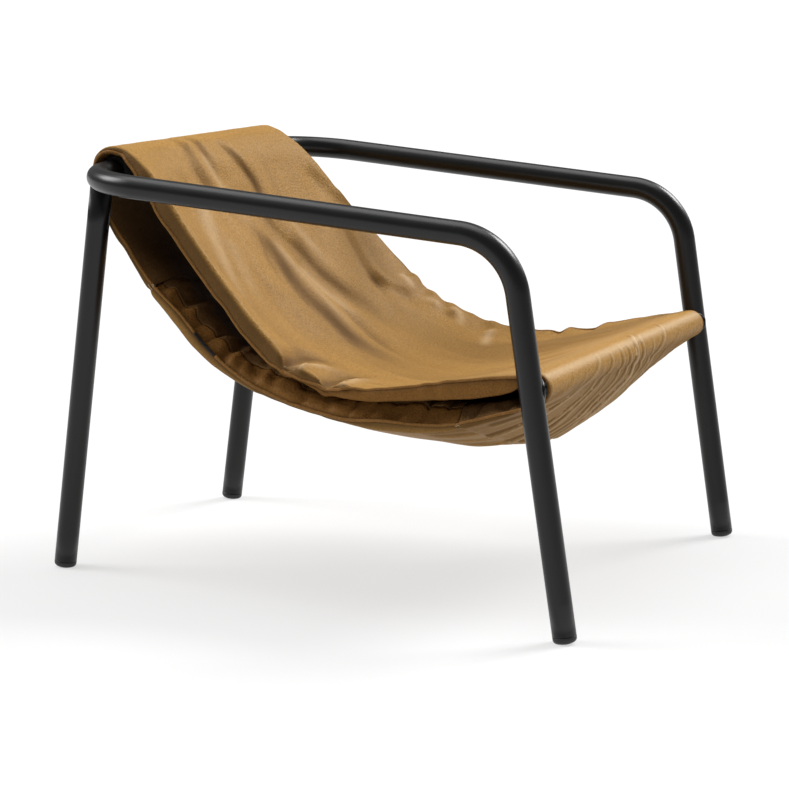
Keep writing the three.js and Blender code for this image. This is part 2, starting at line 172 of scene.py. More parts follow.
# The camera: the photograph is taken from the sitter's right, a little in front, with a long lens.
camera_data = bpy.data.cameras.new("camera")
camera_data.lens = 116.09
camera_data.sensor_width = 36
camera_data.clip_end = 200
camera = bpy.data.objects.new("camera", camera_data)
camera.location = (-3.3049, -1.5403, 0.8978)
camera.rotation_euler = Euler((math.radians(90 - 10.2), 0, math.radians(-65.1)))
bpy.context.scene.collection.objects.link(camera)
bpy.context.scene.camera = camera
bpy.context.scene.view_settings.view_transform = "Standard"


# The studio: a pale floor lit from below like a light table, so that shadows on it stay faint, one soft light behind
# the chair, two on its far side, of which one is low, and a broad one overhead.

class Value:
    """One value in a material. Python's operators on it add the Math nodes that work it out."""

    def __init__(self, finish, socket):
        self.finish = finish
        self.socket = socket

    def maths(self, operation, first, second):
        return self.finish.node("ShaderNodeMath", {"operation": operation}, {0: first, 1: second})

    def __add__(self, other):
        return self.maths("ADD", self, other)

    def __radd__(self, other):
        return self.maths("ADD", other, self)

    def __sub__(self, other):
        return self.maths("SUBTRACT", self, other)

    def __rsub__(self, other):
        return self.maths("SUBTRACT", other, self)

    def __mul__(self, other):
        return self.maths("MULTIPLY", self, other)

    def __rmul__(self, other):
        return self.maths("MULTIPLY", other, self)

    def clamped(self, low, high):
        """This value's way from low to high as a share, held between 0 and 1."""
        values = {"Value": self, "From Min": low, "From Max": high}
        return self.finish.node("ShaderNodeMapRange", {"clamp": True}, values)


class Finish:
    """A node material: one Principled shader, whose even values are set on it and whose varied ones are linked."""

    def __init__(self, name, **even):
        self.material = bpy.data.materials.new(name)
        self.material.use_nodes = True
        self.tree = self.material.node_tree
        self.shader = self.tree.nodes["Principled BSDF"]
        for socket, value in even.items():
            self.shader.inputs[socket.replace("_", " ")].default_value = value

    def node(self, kind, settings, values, output=0):
        made = self.tree.nodes.new(kind)
        for name, value in settings.items():
            setattr(made, name, value)
        for socket, value in values.items():
            if isinstance(value, Value):
                self.tree.links.new(value.socket, made.inputs[socket])
            else:
                made.inputs[socket].default_value = value
        return Value(self, made.outputs[output])

    def link(self, **values):
        for socket, value in values.items():
            self.tree.links.new(value.socket, self.shader.inputs[socket.replace("_", " ")])

    def place(self):
        return self.node("ShaderNodeTexCoord", {}, {}, "Object")

    def noise(self, scale, detail=4.0, roughness=0.5):
        values = {"Vector": self.place(), "Scale": scale, "Detail": detail, "Roughness": roughness}
        return self.node("ShaderNodeTexNoise", {"noise_dimensions": "3D"}, values)

    def mixed(self, share, first, second):
        """Two colours mixed by a share."""
        colours = [value if isinstance(value, Value) else (*value, 1) for value in (first, second)]
        values = {"Factor": share, 6: colours[0], 7: colours[1]}
        return self.node("ShaderNodeMix", {"data_type": "RGBA"}, values, 2)

    def bump(self, height, strength, distance, under=None):
        values = {"Height": height, "Strength": strength, "Distance": distance}
        if under is not None:
            values["Normal"] = under
        return self.node("ShaderNodeBump", {}, values)


def put(name, points, faces, finish):
    """A mesh object in the scene from points in metres."""
    mesh = bpy.data.meshes.new(name)
    mesh.from_pydata(np.asarray(points, float).tolist(), [], [list(map(int, face)) for face in faces])
    mesh.materials.append(finish.material)
    mesh.shade_smooth()
    mesh.update()
    piece = bpy.data.objects.new(name, mesh)
    bpy.context.scene.collection.objects.link(piece)
    return piece


floor_finish = Finish("studio_floor", Roughness=0.9, Specular_IOR_Level=0.0, Emission_Color=(1, 1, 1, 1),
                      Emission_Strength=0.6)
floor_mottle = floor_finish.noise(0.8, 2.0).clamped(0.3, 0.7)
floor_finish.link(Base_Color=floor_finish.mixed(floor_mottle, (0.235, 0.235, 0.235), (0.25, 0.25, 0.25)))
floor_reach, floor_below_feet = 60.0, 0.0002
floor_corners = [(x * floor_reach, y * floor_reach, 0) for x, y in ((-1, -1), (1, -1), (1, 1), (-1, 1))]
floor = put("studio_floor", floor_corners, [(0, 1, 2, 3)], floor_finish)
floor.location.z = -floor_below_feet
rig.stage(floor)


# Far lights of wide angular widths, which light the whole floor evenly: azimuth and elevation in degrees, strength,
# and width in degrees.
for name, azimuth, elevation, strength, width in (
        ("light_behind_left", 102, 38, 2.3, 30), ("light_front_right", -30, 44, 3.2, 26),
        ("light_low_far", -14, 21, 0.28, 22), ("light_overhead", 60, 78, 1.7, 50)):
    light_data = bpy.data.lights.new(name, "SUN")
    light_data.energy = strength
    light_data.angle = math.radians(width)
    light = bpy.data.objects.new(name, light_data)
    round_by, up_by = math.radians(azimuth), math.radians(elevation)
    away = Vector((math.cos(round_by) * math.cos(up_by), math.sin(round_by) * math.cos(up_by), math.sin(up_by)))
    light.rotation_euler = away.to_track_quat("Z", "Y").to_euler()
    bpy.context.scene.collection.objects.link(light)

world = bpy.data.worlds.new("studio")
world.use_nodes = True
world.node_tree.nodes["Background"].inputs["Color"].default_value = (1, 1, 1, 1)
world.node_tree.nodes["Background"].inputs["Strength"].default_value = 0.22
bpy.context.scene.world = world


# The front legs, arms and rear bar: one steel tube bent four times, 32 mm outside, powder-coated satin black.
tube_radius = 0.016
bore_radius = 0.014
foot_front = np.array([0.331, -0.4031, 0.0])
corner_front = np.array([0.3315, -0.322, 0.5191])
corner_rear = np.array([0.3388, 0.3259, 0.5723])
foot_rear = np.array([0.2524, 0.4031, 0.0])
front_bend = 0.09
rear_bend = 0.101

paint = Finish("black_powder_coat", Metallic=0.0, Specular_IOR_Level=0.38)
paint_peel = paint.noise(900, 2.0, 0.5)
paint_cloud = paint.noise(14, 3.0, 0.5)
paint.link(
    Base_Color=paint.mixed(paint_cloud.clamped(0.3, 0.7), (0.0020, 0.0020, 0.0021), (0.0032, 0.0032, 0.0033)),
    Roughness=0.27 + paint_cloud * 0.05 + paint_peel * 0.05,
    Normal=paint.bump(paint_peel, 0.18, 0.00012),
)


mirror_x = np.array([-1.0, 1.0, 1.0])


def unit(vector):
    return vector / np.linalg.norm(vector, axis=-1, keepdims=True)


def straight_run(start, end, step=0.04):
    return np.linspace(start, end, max(2, int(np.linalg.norm(end - start) / step)))


def rounded_line(corners, radii, bend_steps=28):
    """Points along straight runs whose inner corners are rounded."""
    runs = []
    start = corners[0]
    for before, corner, after, radius in zip(corners, corners[1:], corners[2:], radii):
        back, ahead = unit(before - corner), unit(after - corner)
        half = math.acos(np.clip(back @ ahead, -1, 1)) / 2
        centre = corner + unit(back + ahead) * radius / math.sin(half)
        arc_start = corner + back * radius / math.tan(half)
        arc_end = corner + ahead * radius / math.tan(half)
        runs.append(straight_run(start, arc_start)[:-1])
        spoke = arc_start - centre
        other = unit(arc_end - centre - spoke * math.cos(math.pi - 2 * half))
        turn = np.linspace(0, math.pi - 2 * half, bend_steps + 1)[:-1, None]
        runs.append(centre + spoke * np.cos(turn) + other * radius * np.sin(turn))
        start = arc_end
    return np.concatenate([*runs, straight_run(start, corners[-1])])


def ring_faces(rows, count, closed=False):
    """Quads between rows of count points each, every row a closed ring."""
    faces = []
    for row in range(rows if closed else rows - 1):
        ahead = (row + 1) % rows
        for point in range(count):
            after = (point + 1) % count
            faces.append((row * count + point, row * count + after, ahead * count + after, ahead * count + point))
    return faces


def round_points(line, radius, sides=48, closed=False):
    """A ring of points round each point of a line, turned as little as possible from one ring to the next."""
    tangents = unit(np.roll(line, -1, 0) - np.roll(line, 1, 0) if closed else np.gradient(line, axis=0))
    side = unit(np.cross(tangents[0], [0.3, 0.5, 0.8]))
    first = []
    for tangent in tangents:
        side = unit(side - tangent * (side @ tangent))
        first.append(side)
    first = np.array(first)[:, None]
    second = np.cross(tangents, first[:, 0])[:, None]
    angle = np.linspace(0, 2 * math.pi, sides, endpoint=False)[None, :, None]
    radii = np.broadcast_to(np.asarray(radius, float), (len(line),))
    return line[:, None] + (first * np.cos(angle) + second * np.sin(angle)) * radii[:, None, None]


def tube(name, line, finish, sides=48, trim=None):
    """A tube with its bore. trim moves the end rings' points, as a cope does."""
    outer, inner = round_points(line, tube_radius, sides), round_points(line, bore_radius, sides)
    if trim:
        outer, inner = trim(outer), trim(inner)
    points = np.concatenate([outer, inner[::-1]]).reshape(-1, 3)
    return put(name, points, ring_faces(2 * len(line), sides, closed=True), finish)


def fix(piece, slot, node=None):
    """Every piece takes its finish from a slot, rides on the frame, and may stand for a solid."""
    if node:
        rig.replaces(piece, node)
    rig.slot(piece, slot)
    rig.ride(piece, "root")


# A glide's dome touches the floor this far inside its tip and this wide round it when the leg leans
dome_press = 0.0008
dome_touch_radius = 0.01
glide_head_height = 0.0093


def above_floor(foot, top, height=0.0):
    """The point on a leaning leg's axis that lies so far along it from where its glide rests on the floor."""
    direction = unit(top - foot)
    lean = math.sqrt(1 - direction[2] ** 2)
    raise_by = (dome_touch_radius * lean - dome_press) + height * direction[2]
    return foot + direction * raise_by / direction[2]


hoop_end = above_floor(foot_front, corner_front, glide_head_height)
hoop_line = rounded_line(
    [hoop_end * mirror_x, corner_front * mirror_x, corner_rear * mirror_x, corner_rear, corner_front, hoop_end],
    [front_bend, rear_bend, rear_bend, front_bend])
hoop = tube("bent_tube", hoop_line, paint)
fix(hoop, "frame_paint", "frame_hoop")


# The rear legs and the front crossbar: straight tubes of the same steel, coped to the bent tube and welded to it
# with a small bead all round, which the powder coat covers.
crossbar_height = 0.326
cope_gap = 0.0002
bead_radius = 0.0019
bead_sides = 10
bead_gap = 0.0004
bead_outside = 0.0006
cope_sides = 96
# A straight tube's line ends this far from the bent tube's axis, and its end ring is moved out to the bent tube
stop_short = 0.03
bead_rng = np.random.default_rng(7)
rear_top = np.array([foot_rear[0], corner_rear[1], corner_rear[2]])


def distance_to_hoop(points):
    starts, ends = hoop_line[:-1], hoop_line[1:]
    spans = ends - starts
    share = np.einsum("psk,sk->ps", points[:, None] - starts, spans) / (spans ** 2).sum(1)
    nearest = starts + np.clip(share, 0, 1)[..., None] * spans
    return np.linalg.norm(points[:, None] - nearest, axis=-1).min(1)


def coped(ring, direction, clearance):
    """The ring's points moved along direction to where they meet the bent tube."""
    furthest_back, furthest_out = -0.04, 0.026
    low, high = np.full(len(ring), furthest_back), np.full(len(ring), furthest_out)
    for _ in range(40):
        middle = (low + high) / 2
        clear = distance_to_hoop(ring + direction * middle[:, None]) > tube_radius + clearance
        low, high = np.where(clear, middle, low), np.where(clear, high, middle)
    return ring + direction * low[:, None]


def weld_bead(name, ring):
    """A closed bead along a cope, with the ripple that welding leaves."""
    ripple = np.interp(np.arange(len(ring)), np.arange(0, len(ring) + 1, 3),
                       bead_rng.uniform(0.85, 1.15, len(ring) // 3 + 1))
    ripple[-1] = ripple[0]
    points = round_points(ring, bead_radius * ripple, bead_sides, closed=True)
    bead = put(name, points.reshape(-1, 3), ring_faces(len(ring), bead_sides, closed=True), paint)
    fix(bead, "frame_paint")


def welded_tube(name, node, line, ends):
    """A straight tube, coped and welded at ends that are each given as ring, outward direction and bead's name."""
    def trim(rings):
        for ring, direction, _ in ends:
            rings[ring] = coped(rings[ring], direction, cope_gap)
        return rings

    fix(tube(name, line, paint, cope_sides, trim), "frame_paint", node)
    bead_rings = round_points(line, tube_radius + bead_outside, cope_sides)
    for ring, direction, weld_name in ends:
        weld_bead(weld_name, coped(bead_rings[ring], direction, bead_gap))


for side_name, sign in (("right", -1), ("left", 1)):
    mirror = np.array([sign, 1.0, 1.0])
    top = rear_top * mirror
    bottom = above_floor(foot_rear * mirror, top, glide_head_height)
    upward = unit(top - bottom)
    welded_tube(f"rear_leg_tube_{side_name}", f"rear_leg_{side_name}",
                np.linspace(bottom, top - upward * stop_short, 14),
                [(-1, upward, f"rear_leg_weld_{side_name}")])

crossbar_end = foot_front + (corner_front - foot_front) * (crossbar_height / corner_front[2])
sideways = np.array([1.0, 0, 0])
crossbar_line = np.linspace(crossbar_end * mirror_x + stop_short * sideways,
                            crossbar_end - stop_short * sideways, 16)
welded_tube("crossbar_tube", "front_crossbar", crossbar_line,
            [(0, -sideways, "crossbar_weld_right"), (-1, sideways, "crossbar_weld_left")])


# The feet: moulded black nylon glides, domed, as wide as the tube, with a plug pushed up its bore.
nylon = Finish("moulded_nylon", Specular_IOR_Level=0.45)
nylon_grain = nylon.noise(2600, 2.0, 0.6)
nylon_scuff = nylon.noise(160, 4.0, 0.65)
nylon_height = nylon.node("ShaderNodeSeparateXYZ", {}, {"Vector": nylon.place()}, "Z")
nylon_wear = (1 - nylon_height.clamped(0.0, 0.006)) * nylon_scuff.clamped(0.45, 0.7)
nylon.link(
    Base_Color=nylon.mixed(nylon_wear, (0.008, 0.008, 0.0085), (0.035, 0.034, 0.033)),
    Roughness=0.42 + nylon_wear * 0.25 + nylon_grain * 0.06,
    Normal=nylon.bump(nylon_grain, 0.25, 0.0001),
)
# Radius and height, up from the dome's tip, round the head's edge, and in to the plug and its tapered end
glide_profile = [(0.0, -0.0016), (0.004, -0.0015), (0.008, -0.00105), (0.01, -0.0004)]
glide_profile += [(0.010 + 0.006 * math.sin(angle), 0.006 * (1 - math.cos(angle)))
                  for angle in np.linspace(0.12, math.pi / 2, 9)]
glide_profile += [(0.016, 0.0075), (0.01595, 0.0086), (0.0156, 0.009), (0.0137, 0.009), (0.0137, 0.0275),
                  (0.0122, 0.031), (0.0, 0.031)]


def turned(profile, sides=64):
    """Points and faces of a body turned round Z from (radius, height) pairs whose ends lie on the axis."""
    angle = np.linspace(0, 2 * math.pi, sides, endpoint=False)
    rings = [(radius * np.cos(a), radius * np.sin(a), height) for radius, height in profile[1:-1] for a in angle]
    points = [(0, 0, profile[0][1]), *rings, (0, 0, profile[-1][1])]
    faces = [tuple(1 + i for i in face) for face in ring_faces(len(profile) - 2, sides)]
    last = 1 + (len(profile) - 3) * sides
    for side in range(sides):
        after = (side + 1) % sides
        faces.append((0, 1 + after, 1 + side))
        faces.append((len(points) - 1, last + side, last + after))
    return np.array(points, float), faces


for side_name, sign in (("right", -1), ("left", 1)):
    mirror = np.array([sign, 1.0, 1.0])
    for end_name, foot, top in (("front", foot_front, corner_front), ("rear", foot_rear, rear_top)):
        points, faces = turned(glide_profile)
        turn = np.array(Vector(unit(top * mirror - foot * mirror)).to_track_quat("Z", "Y").to_matrix())
        points = points @ turn.T + above_floor(foot * mirror, top * mirror)
        points[:, 2] = np.maximum(points[:, 2], 0)
        glide = put(f"{end_name}_glide_{side_name}", points, faces, nylon)
        fix(glide, "glide_nylon", f"{end_name}_foot_glide_{side_name}")


# The foam sleeve that pads the rear bar inside the sling: black closed-cell foam, slit and pushed on, softly rounded
# at its cut ends.
sleeve_radius = 0.0235
sleeve_bore = 0.0163
sleeve_half_length = 0.222
bar_middle = np.array([0.0, corner_rear[1], corner_rear[2]])

foam = Finish("black_foam", Roughness=0.93, Specular_IOR_Level=0.25)
foam_cells = foam.node("ShaderNodeTexVoronoi", {"feature": "F1"}, {"Vector": foam.place(), "Scale": 900.0})
foam_cloud = foam.noise(60, 3.0)
foam.link(
    Base_Color=foam.mixed(foam_cloud.clamped(0.35, 0.65), (0.007, 0.007, 0.007), (0.013, 0.013, 0.012)),
    Normal=foam.bump(foam_cells, 0.5, 0.0004),
)
sleeve_sides = 40
end_length, end_drop = 0.006, 0.004
sleeve_stations = np.concatenate([-np.cos(np.linspace(0, 1.4, 7)) * end_length + end_length - sleeve_half_length,
                                  np.linspace(-0.212, 0.212, 60),
                                  sleeve_half_length - end_length
                                  + np.sin(np.linspace(0.2, math.pi / 2, 7)) * end_length])
sleeve_stations = np.unique(sleeve_stations.round(6))
sleeve_line = bar_middle + sleeve_stations[:, None] * sideways
end_share = np.clip((sleeve_half_length - np.abs(sleeve_stations)) / end_length, 0, 1)
sleeve_outer_radii = sleeve_radius - end_drop * (1 - np.sqrt(1 - (1 - end_share) ** 2))
sleeve_rings = [round_points(sleeve_line, sleeve_outer_radii, sleeve_sides),
                round_points(sleeve_line, sleeve_bore, sleeve_sides)[::-1]]
sleeve = put("bar_foam", np.concatenate(sleeve_rings).reshape(-1, 3),
             ring_faces(2 * len(sleeve_line), sleeve_sides, closed=True), foam)
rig.padded(sleeve, fill=0.9)
fix(sleeve, "sleeve_foam", "rear_bar_sleeve")

# The sling is one padded loop that hangs over both bars: down the back and along the seat, round the crossbar, and
# back underneath in a longer and slacker layer. Its course is worked out in millimetres in the plane of the chair's
# middle, from stations spread along each span. Everything below is in millimetres until a mesh is made.
MM = 0.001
bar_y, bar_z = corner_rear[1:] * 1000
cross_y, cross_z = crossbar_end[1:] * 1000
quilt_thinnest = 3.4
wrap_gap = 0.5
span_length, span_rise = bar_y - cross_y, bar_z - cross_z
seat_drop, seat_sag, seat_loft = 136, 26, 20
under_drop, under_sag, under_loft = 192, 66, 18
rear_half_width, front_half_width = 231.0, 305.0
# The sling widens forward of the rear bar, from this share of the span on and over about that share of it, and a
# little more on the roll. The sewn edge stands out past its line, and the padding is thinner there.
flare_start, flare_reach, roll_flare, roll_flare_reach = 0.03, 0.24, 5, 38
edge_outset, edge_loft_share = 3.4, 0.86
# Shares along a span, and of its drop, belly and loft. The seat's run from the rear bar to the crossbar.
seat_span_shares = [
    (.962, -.284, 0, .45), (.94, -.24, .05, .42), (.915, -.17, .15, .4), (.885, -.022, .3, .38),
    (.851, .137, .45, .38), (.8, .323, .6, .42), (.733, .566, .8, .5), (.667, .782, .9, .6), (.6, .922, 1, .75),
    (.519, 1, 1, .9), (.446, .965, 1, 1), (.372, .843, 1, 1), (.298, .672, .9, 1), (.2245, .465, .8, 1),
    (.151, .258, .55, .85), (.077, .059, .2, .45), (.033, -.061, 0, .02)]
under_span_shares = [
    (.033, .21, .4, .1), (.077, .328, .65, .3), (.164, .544, .95, .5), (.24, .69, 1, .6), (.316, .79, 1, .65),
    (.4235, .907, 1, .7), (.519, .968, 1, .75), (.598, 1, .95, .9), (.677, 1.004, .85, 1), (.758, .952, .72, 1),
    (.847, .8, .55, .85), (.897, .713, .45, .65), (.95, .583, .35, .45), (1.003, .417, .2, .45),
    (1.024, .272, .08, .18)]
rear_wrap_loft_shares = (0, 0, .03, .09, .17, .26, .33, .39, .43, .45, .45)


def sling_stations():
    """Rows of y, z, belly and loft round the loop."""
    found = []
    for angle, loft_share in zip(np.radians(np.linspace(-20, 112, 11)), rear_wrap_loft_shares):
        loft = loft_share * seat_loft
        radius = sleeve_radius / MM + wrap_gap + quilt_thinnest + loft
        found.append((bar_y + radius * math.cos(angle), bar_z + radius * math.sin(angle), 0, loft))
    for along, drop, belly, loft in seat_span_shares:
        found.append((cross_y + along * span_length, cross_z + along * span_rise - drop * seat_drop,
                      -belly * seat_sag, loft * seat_loft))
    for step, angle in enumerate(np.radians(np.linspace(80, 250, 11))):
        radius = tube_radius / MM + wrap_gap + quilt_thinnest
        found.append((cross_y + radius * math.cos(angle), cross_z + radius * math.sin(angle),
                      0.1 * under_sag if step == 10 else 0, 0))
    for along, drop, belly, loft in under_span_shares:
        found.append((cross_y + along * span_length, cross_z + along * span_rise - drop * under_drop,
                      belly * under_sag, loft * under_loft))
    return np.array(found)


loop = sling_stations()
loop_count = len(loop)
front_seam_place = 11 + len(seat_span_shares) + 11 + 2
rear_seam_place = front_seam_place + 9


def loop_points(places):
    """Points on the centripetal curve through the stations, at places counted in stations."""
    first = np.floor(places).astype(int)
    t = (places - first)[:, None]
    p0, p1, p2, p3 = (loop[(first + step) % loop_count, :2] for step in (-1, 0, 1, 2))
    g0, g1, g2 = (np.sqrt(np.hypot(*(b - a).T))[:, None] for a, b in ((p0, p1), (p1, p2), (p2, p3)))
    out = ((p1 - p0) / g0 - (p2 - p0) / (g0 + g1) + (p2 - p1) / g1) * g1
    into = ((p2 - p1) / g1 - (p3 - p1) / (g1 + g2) + (p3 - p2) / g2) * g1
    return p1 + out * t + (-3 * p1 + 3 * p2 - 2 * out - into) * t ** 2 + (2 * p1 - 2 * p2 + out + into) * t ** 3


class Panel:
    """One padded panel of the sling between its two cross seams. Its rows run across the sling, and each is a closed
    ring: outer leather, left side, lining, right side. c is the distance from the middle along the ring."""

    def __init__(self, first, last, row_gaps, outer_count, lining_count):
        fine = np.linspace(first, last, 8001)
        course = loop_points(fine)
        run = np.concatenate([[0], np.cumsum(np.hypot(*np.diff(course, axis=0).T))])
        self.length = run[-1]
        gaps = np.interp(run, *row_gaps)
        count = np.concatenate([[0], np.cumsum(np.diff(run) / ((gaps[1:] + gaps[:-1]) / 2))])
        even = np.linspace(0, count[-1], 3 * int(round(count[-1] / 3)) + 1)
        self.s = np.clip(np.interp(even, count, run), 0.15, self.length - 0.15)
        places = np.interp(self.s, run, fine)
        self.edge = loop_points(places)
        tangent = unit(loop_points(places + 0.02) - loop_points(places - 0.02))
        self.normal = np.stack([tangent[:, 1], -tangent[:, 0]], 1)
        station = np.floor(places).astype(int)
        t = (places - station)[:, None]
        here, ahead = loop[station % loop_count, 2:], loop[(station + 1) % loop_count, 2:]
        self.belly, self.loft = ((1 - t) * here + t * ahead).T
        flare = np.maximum(0, (bar_y - self.edge[:, 0]) / span_length - flare_start)
        from_roll = np.hypot(self.edge[:, 0] - cross_y, self.edge[:, 1] - cross_z)
        self.half = (rear_half_width + (front_half_width - rear_half_width) * (1 - np.exp(-flare / flare_reach))
                     + roll_flare * np.exp(-(from_roll / roll_flare_reach) ** 4))
        self.outer_columns, self.lining_columns = self.spread(outer_count), self.spread(lining_count)
        self.rise, self.belly_power = 0, 1.2

    @staticmethod
    def spread(count, ease=0.35):
        """Shares from -1 to 1 that lie closer together near the edges."""
        even = np.linspace(-1, 1, count)
        return even * (1 - ease) + np.sin(even * math.pi / 2) * ease

    def section(self, right_welt, left_welt, band_columns, roll_widest, side_steps=10):
        """Lays out the ring. The welts are angles on the rolled sides, 90 at the outer face and -90 at the lining."""
        rows = len(self.s)
        full = quilt_thinnest + self.loft * edge_loft_share
        roll = np.minimum(full / 2, roll_widest)
        flat = self.half + edge_outset - roll
        turn = (roll + full / 2) / 2
        columns = []

        def face(shares, inner):
            for share in shares:
                x = flat * share
                u = np.clip(np.abs(x) / self.half, 0, 1)
                deep = quilt_thinnest + self.loft * (edge_loft_share + (1 - edge_loft_share) * (1 - u ** 6))
                beyond = np.sign(share + 1e-9) * (flat + math.pi * turn + flat - np.abs(x))
                none = 0 * x
                columns.append((x, deep, none, none - 1, beyond, none + 1) if inner else
                               (x, none, none, none + 1, x, none))

        def side(sign, start, end, steps, first, last):
            for step in range(first, last + 1):
                angle = start + (end - start) * step / steps
                slope = np.hypot(np.cos(angle) / roll, np.sin(angle) / (full / 2))
                columns.append((sign * (flat + roll * np.cos(angle)), full / 2 * (1 - np.sin(angle)),
                                sign * np.cos(angle) / roll / slope, np.sin(angle) / (full / 2) / slope,
                                sign * (flat + (math.pi / 2 - angle) * turn), (1 - np.sin(angle)) / 2))

        top, bottom = np.full(rows, math.pi / 2), np.full(rows, -math.pi / 2)
        right, left = np.radians(right_welt), np.radians(left_welt)
        side(-1, right, top, side_steps, 0, side_steps - 1)
        face(self.outer_columns, 0)
        side(1, top, left, side_steps, 1, side_steps)
        self.left_welt = len(columns) - 1
        side(1, left, bottom, side_steps, 1, side_steps - 1)
        face(self.lining_columns[::-1], 1)
        side(-1, bottom, right, side_steps, 1, side_steps - 1)
        self.x, self.depth, self.across, self.outward, self.c, self.inner = (np.stack(a, 1) for a in zip(*columns))
        self.count = len(columns)
        self.left_tuck, self.right_tuck = self.left_welt + band_columns, self.count - band_columns
        self.full = full
        self.lift = np.zeros_like(self.x)
        self.along = np.broadcast_to(self.s[:, None], self.x.shape)

    def edge_weight(self, side, reach):
        """1 at one edge of the panel and less with the distance from it."""
        return np.exp(-(np.maximum(self.half[:, None] - side * self.x, 0) / reach) ** 2)

    def points(self):
        """The ring's points, as an array of rows by columns by 3."""
        u = np.clip(np.abs(self.x) / self.half[:, None], 0, 1)
        hang = self.belly[:, None] * (1 - u ** 2) ** self.belly_power
        out = hang - self.depth + self.outward * self.lift + self.rise
        return np.stack([self.x + self.across * self.lift, self.edge[:, :1] + self.normal[:, :1] * out,
                         self.edge[:, 1:] + self.normal[:, 1:] * out], -1)


# The rows lie closest on the roll, where the pleats are
seat_row_gaps = [0, 200, 300, 640, 760, 990, 1030, 1240], [6.5, 5.6, 5.0, 4.2, 4.1, 4.1, 2.6, 2.9]
seat = Panel(rear_seam_place - loop_count, front_seam_place, seat_row_gaps, 241, 61)
under = Panel(front_seam_place, rear_seam_place, ([0], [4.2]), 161, 91)
# Where the side seams lie on the rolled sides: below the roll in the back, on its top along the front
seat.section(np.interp(seat.s, [0, 120, 180, 260, 330, 640, 668, 745, 775, 1000, 1040, 1080, 1240],
                       [-45, -35, -10, -20, -50, -50, -45, 15, 62, 70, 30, -30, -45]),
             np.interp(seat.s, [0, 120, 180, 290, 350, 640, 760, 1000, 1060, 1240],
                       [-45, -35, -10, 20, 10, 10, 50, 60, -20, -45]), 9, 6)
under_welt = np.interp(under.s, [0, 60, 120, 170, 260, 330, 400, 470, under.length],
                       [-45, -62, -40, 0, 22, 0, -35, -62, -45])
under.section(under_welt, under_welt, 15, 9)
under.belly_power = 1.45
# How far the edges stand out from the even course, as the padding is pushed up or aside there
right_stand = np.interp(
    seat.s, [250, 300, 352, 376, 450, 545, 584, 625, 655, 668, 681, 702, 720, 733, 746, 775, 857, 941, 1000, 1030],
    [0, 7, 14, 17, 18, 18, 16, 14, 9, -4, 7, 9, 8, -4, 3, 2, 3.5, 2, 1, 0])[:, None]
lining_stand = np.interp(
    seat.s, [300, 352, 428, 508, 544, 588, 620, 644, 668, 693, 793, 829, 885, 945, 985, 1005, 1020, 1034, 1044],
    [0, 1.5, 2, 4, 7, 4, 2, 1, 6.5, 8.5, 8, 8, 3, -5.5, -11, -12, -9, -3, 0])[:, None]
left_stand = np.interp(
    seat.s, [380, 430, 492, 528, 556, 584, 608, 664, 693, 717, 741, 760, 801, 825, 837, 853, 881, 897, 917, 937, 960],
    [0, 1.5, 3.5, 1.5, 2.5, 2, 1, 2.3, 6.5, 4.8, 2.2, 2.6, -1, -2.6, -6, -1.8, -6.6, -6.2, -2.6, -1.4, 0])[:, None]
right_edge, left_edge = seat.edge_weight(-1, 62), seat.edge_weight(1, 58)
seat.rise = ((1 - seat.inner) * (right_edge * right_stand + left_edge * left_stand)
             + seat.inner * (right_edge + left_edge) * lining_stand)
# The right edge's wall leans in towards its top in the back
lean = np.interp(seat.s, [230, 330, 620, 700], [0, 7, 7, 0])[:, None] * (seat.x < 0)
on_top = (1 - seat.inner) * np.exp(-(np.maximum(seat.half[:, None] + seat.x, 0) / 40) ** 2)
seat.x = seat.x + lean * on_top
# How far the padding bulges up inside the lower side seams, where it is bunched between the two layers
seat.bulge = np.interp(seat.s, [0, 40, 90, 1085, 1130, 1180, seat.length], [4, 3, 0, 0, 8, 14, 18])
under.bulge = np.interp(under.s, [0, 60, 130, 200, 300, 420, 500, under.length], [18, 22, 17, 11, 10, 8, 5, 4])


# How the leather hangs. It is gathered a little at the rear bar and at the crossbar, so long folds run slantwise from
# the top of the back into the seat, two tucks catch at the side seam where the back turns into the seat, the far edge
# crumples, and fine pleats fan down over the front roll. Paths are (across, along) on the outer leather, and a pair
# of widths is that at a path's start and end.
def smooth_noise(x, y, seed):
    """Even noise from -1 to 1 on a lattice of whole numbers, with rounded steps between."""
    lattice = np.random.default_rng(seed).uniform(-1, 1, (64, 64))
    i, j = np.floor(x).astype(int), np.floor(y).astype(int)
    a, b = x - i, y - j
    a, b = a * a * a * (a * (6 * a - 15) + 10), b * b * b * (b * (6 * b - 15) + 10)
    near, far = lattice[i % 64, j % 64], lattice[i % 64, (j + 1) % 64]
    near_next, far_next = lattice[(i + 1) % 64, j % 64], lattice[(i + 1) % 64, (j + 1) % 64]
    return (near * (1 - a) + near_next * a) * (1 - b) + (far * (1 - a) + far_next * a) * b


def eased(share):
    share = np.clip(share, 0, 1)
    return share * share * (3 - 2 * share)


def smooth_path(points, count=48):
    points = np.array(points, float)
    knots = np.concatenate([[0], np.cumsum(np.hypot(*np.diff(points, axis=0).T))])
    t = np.linspace(0, knots[-1], count)
    slope = np.gradient(points, knots, axis=0)
    k = np.clip(np.searchsorted(knots, t, "right") - 1, 0, len(points) - 2)
    gap = (knots[k + 1] - knots[k])[:, None]
    u = (t - knots[k])[:, None] / gap
    return ((2 * u ** 3 - 3 * u ** 2 + 1) * points[k] + (u ** 3 - 2 * u ** 2 + u) * gap * slope[k]
            + (-2 * u ** 3 + 3 * u ** 2) * points[k + 1] + (u ** 3 - u ** 2) * gap * slope[k + 1])


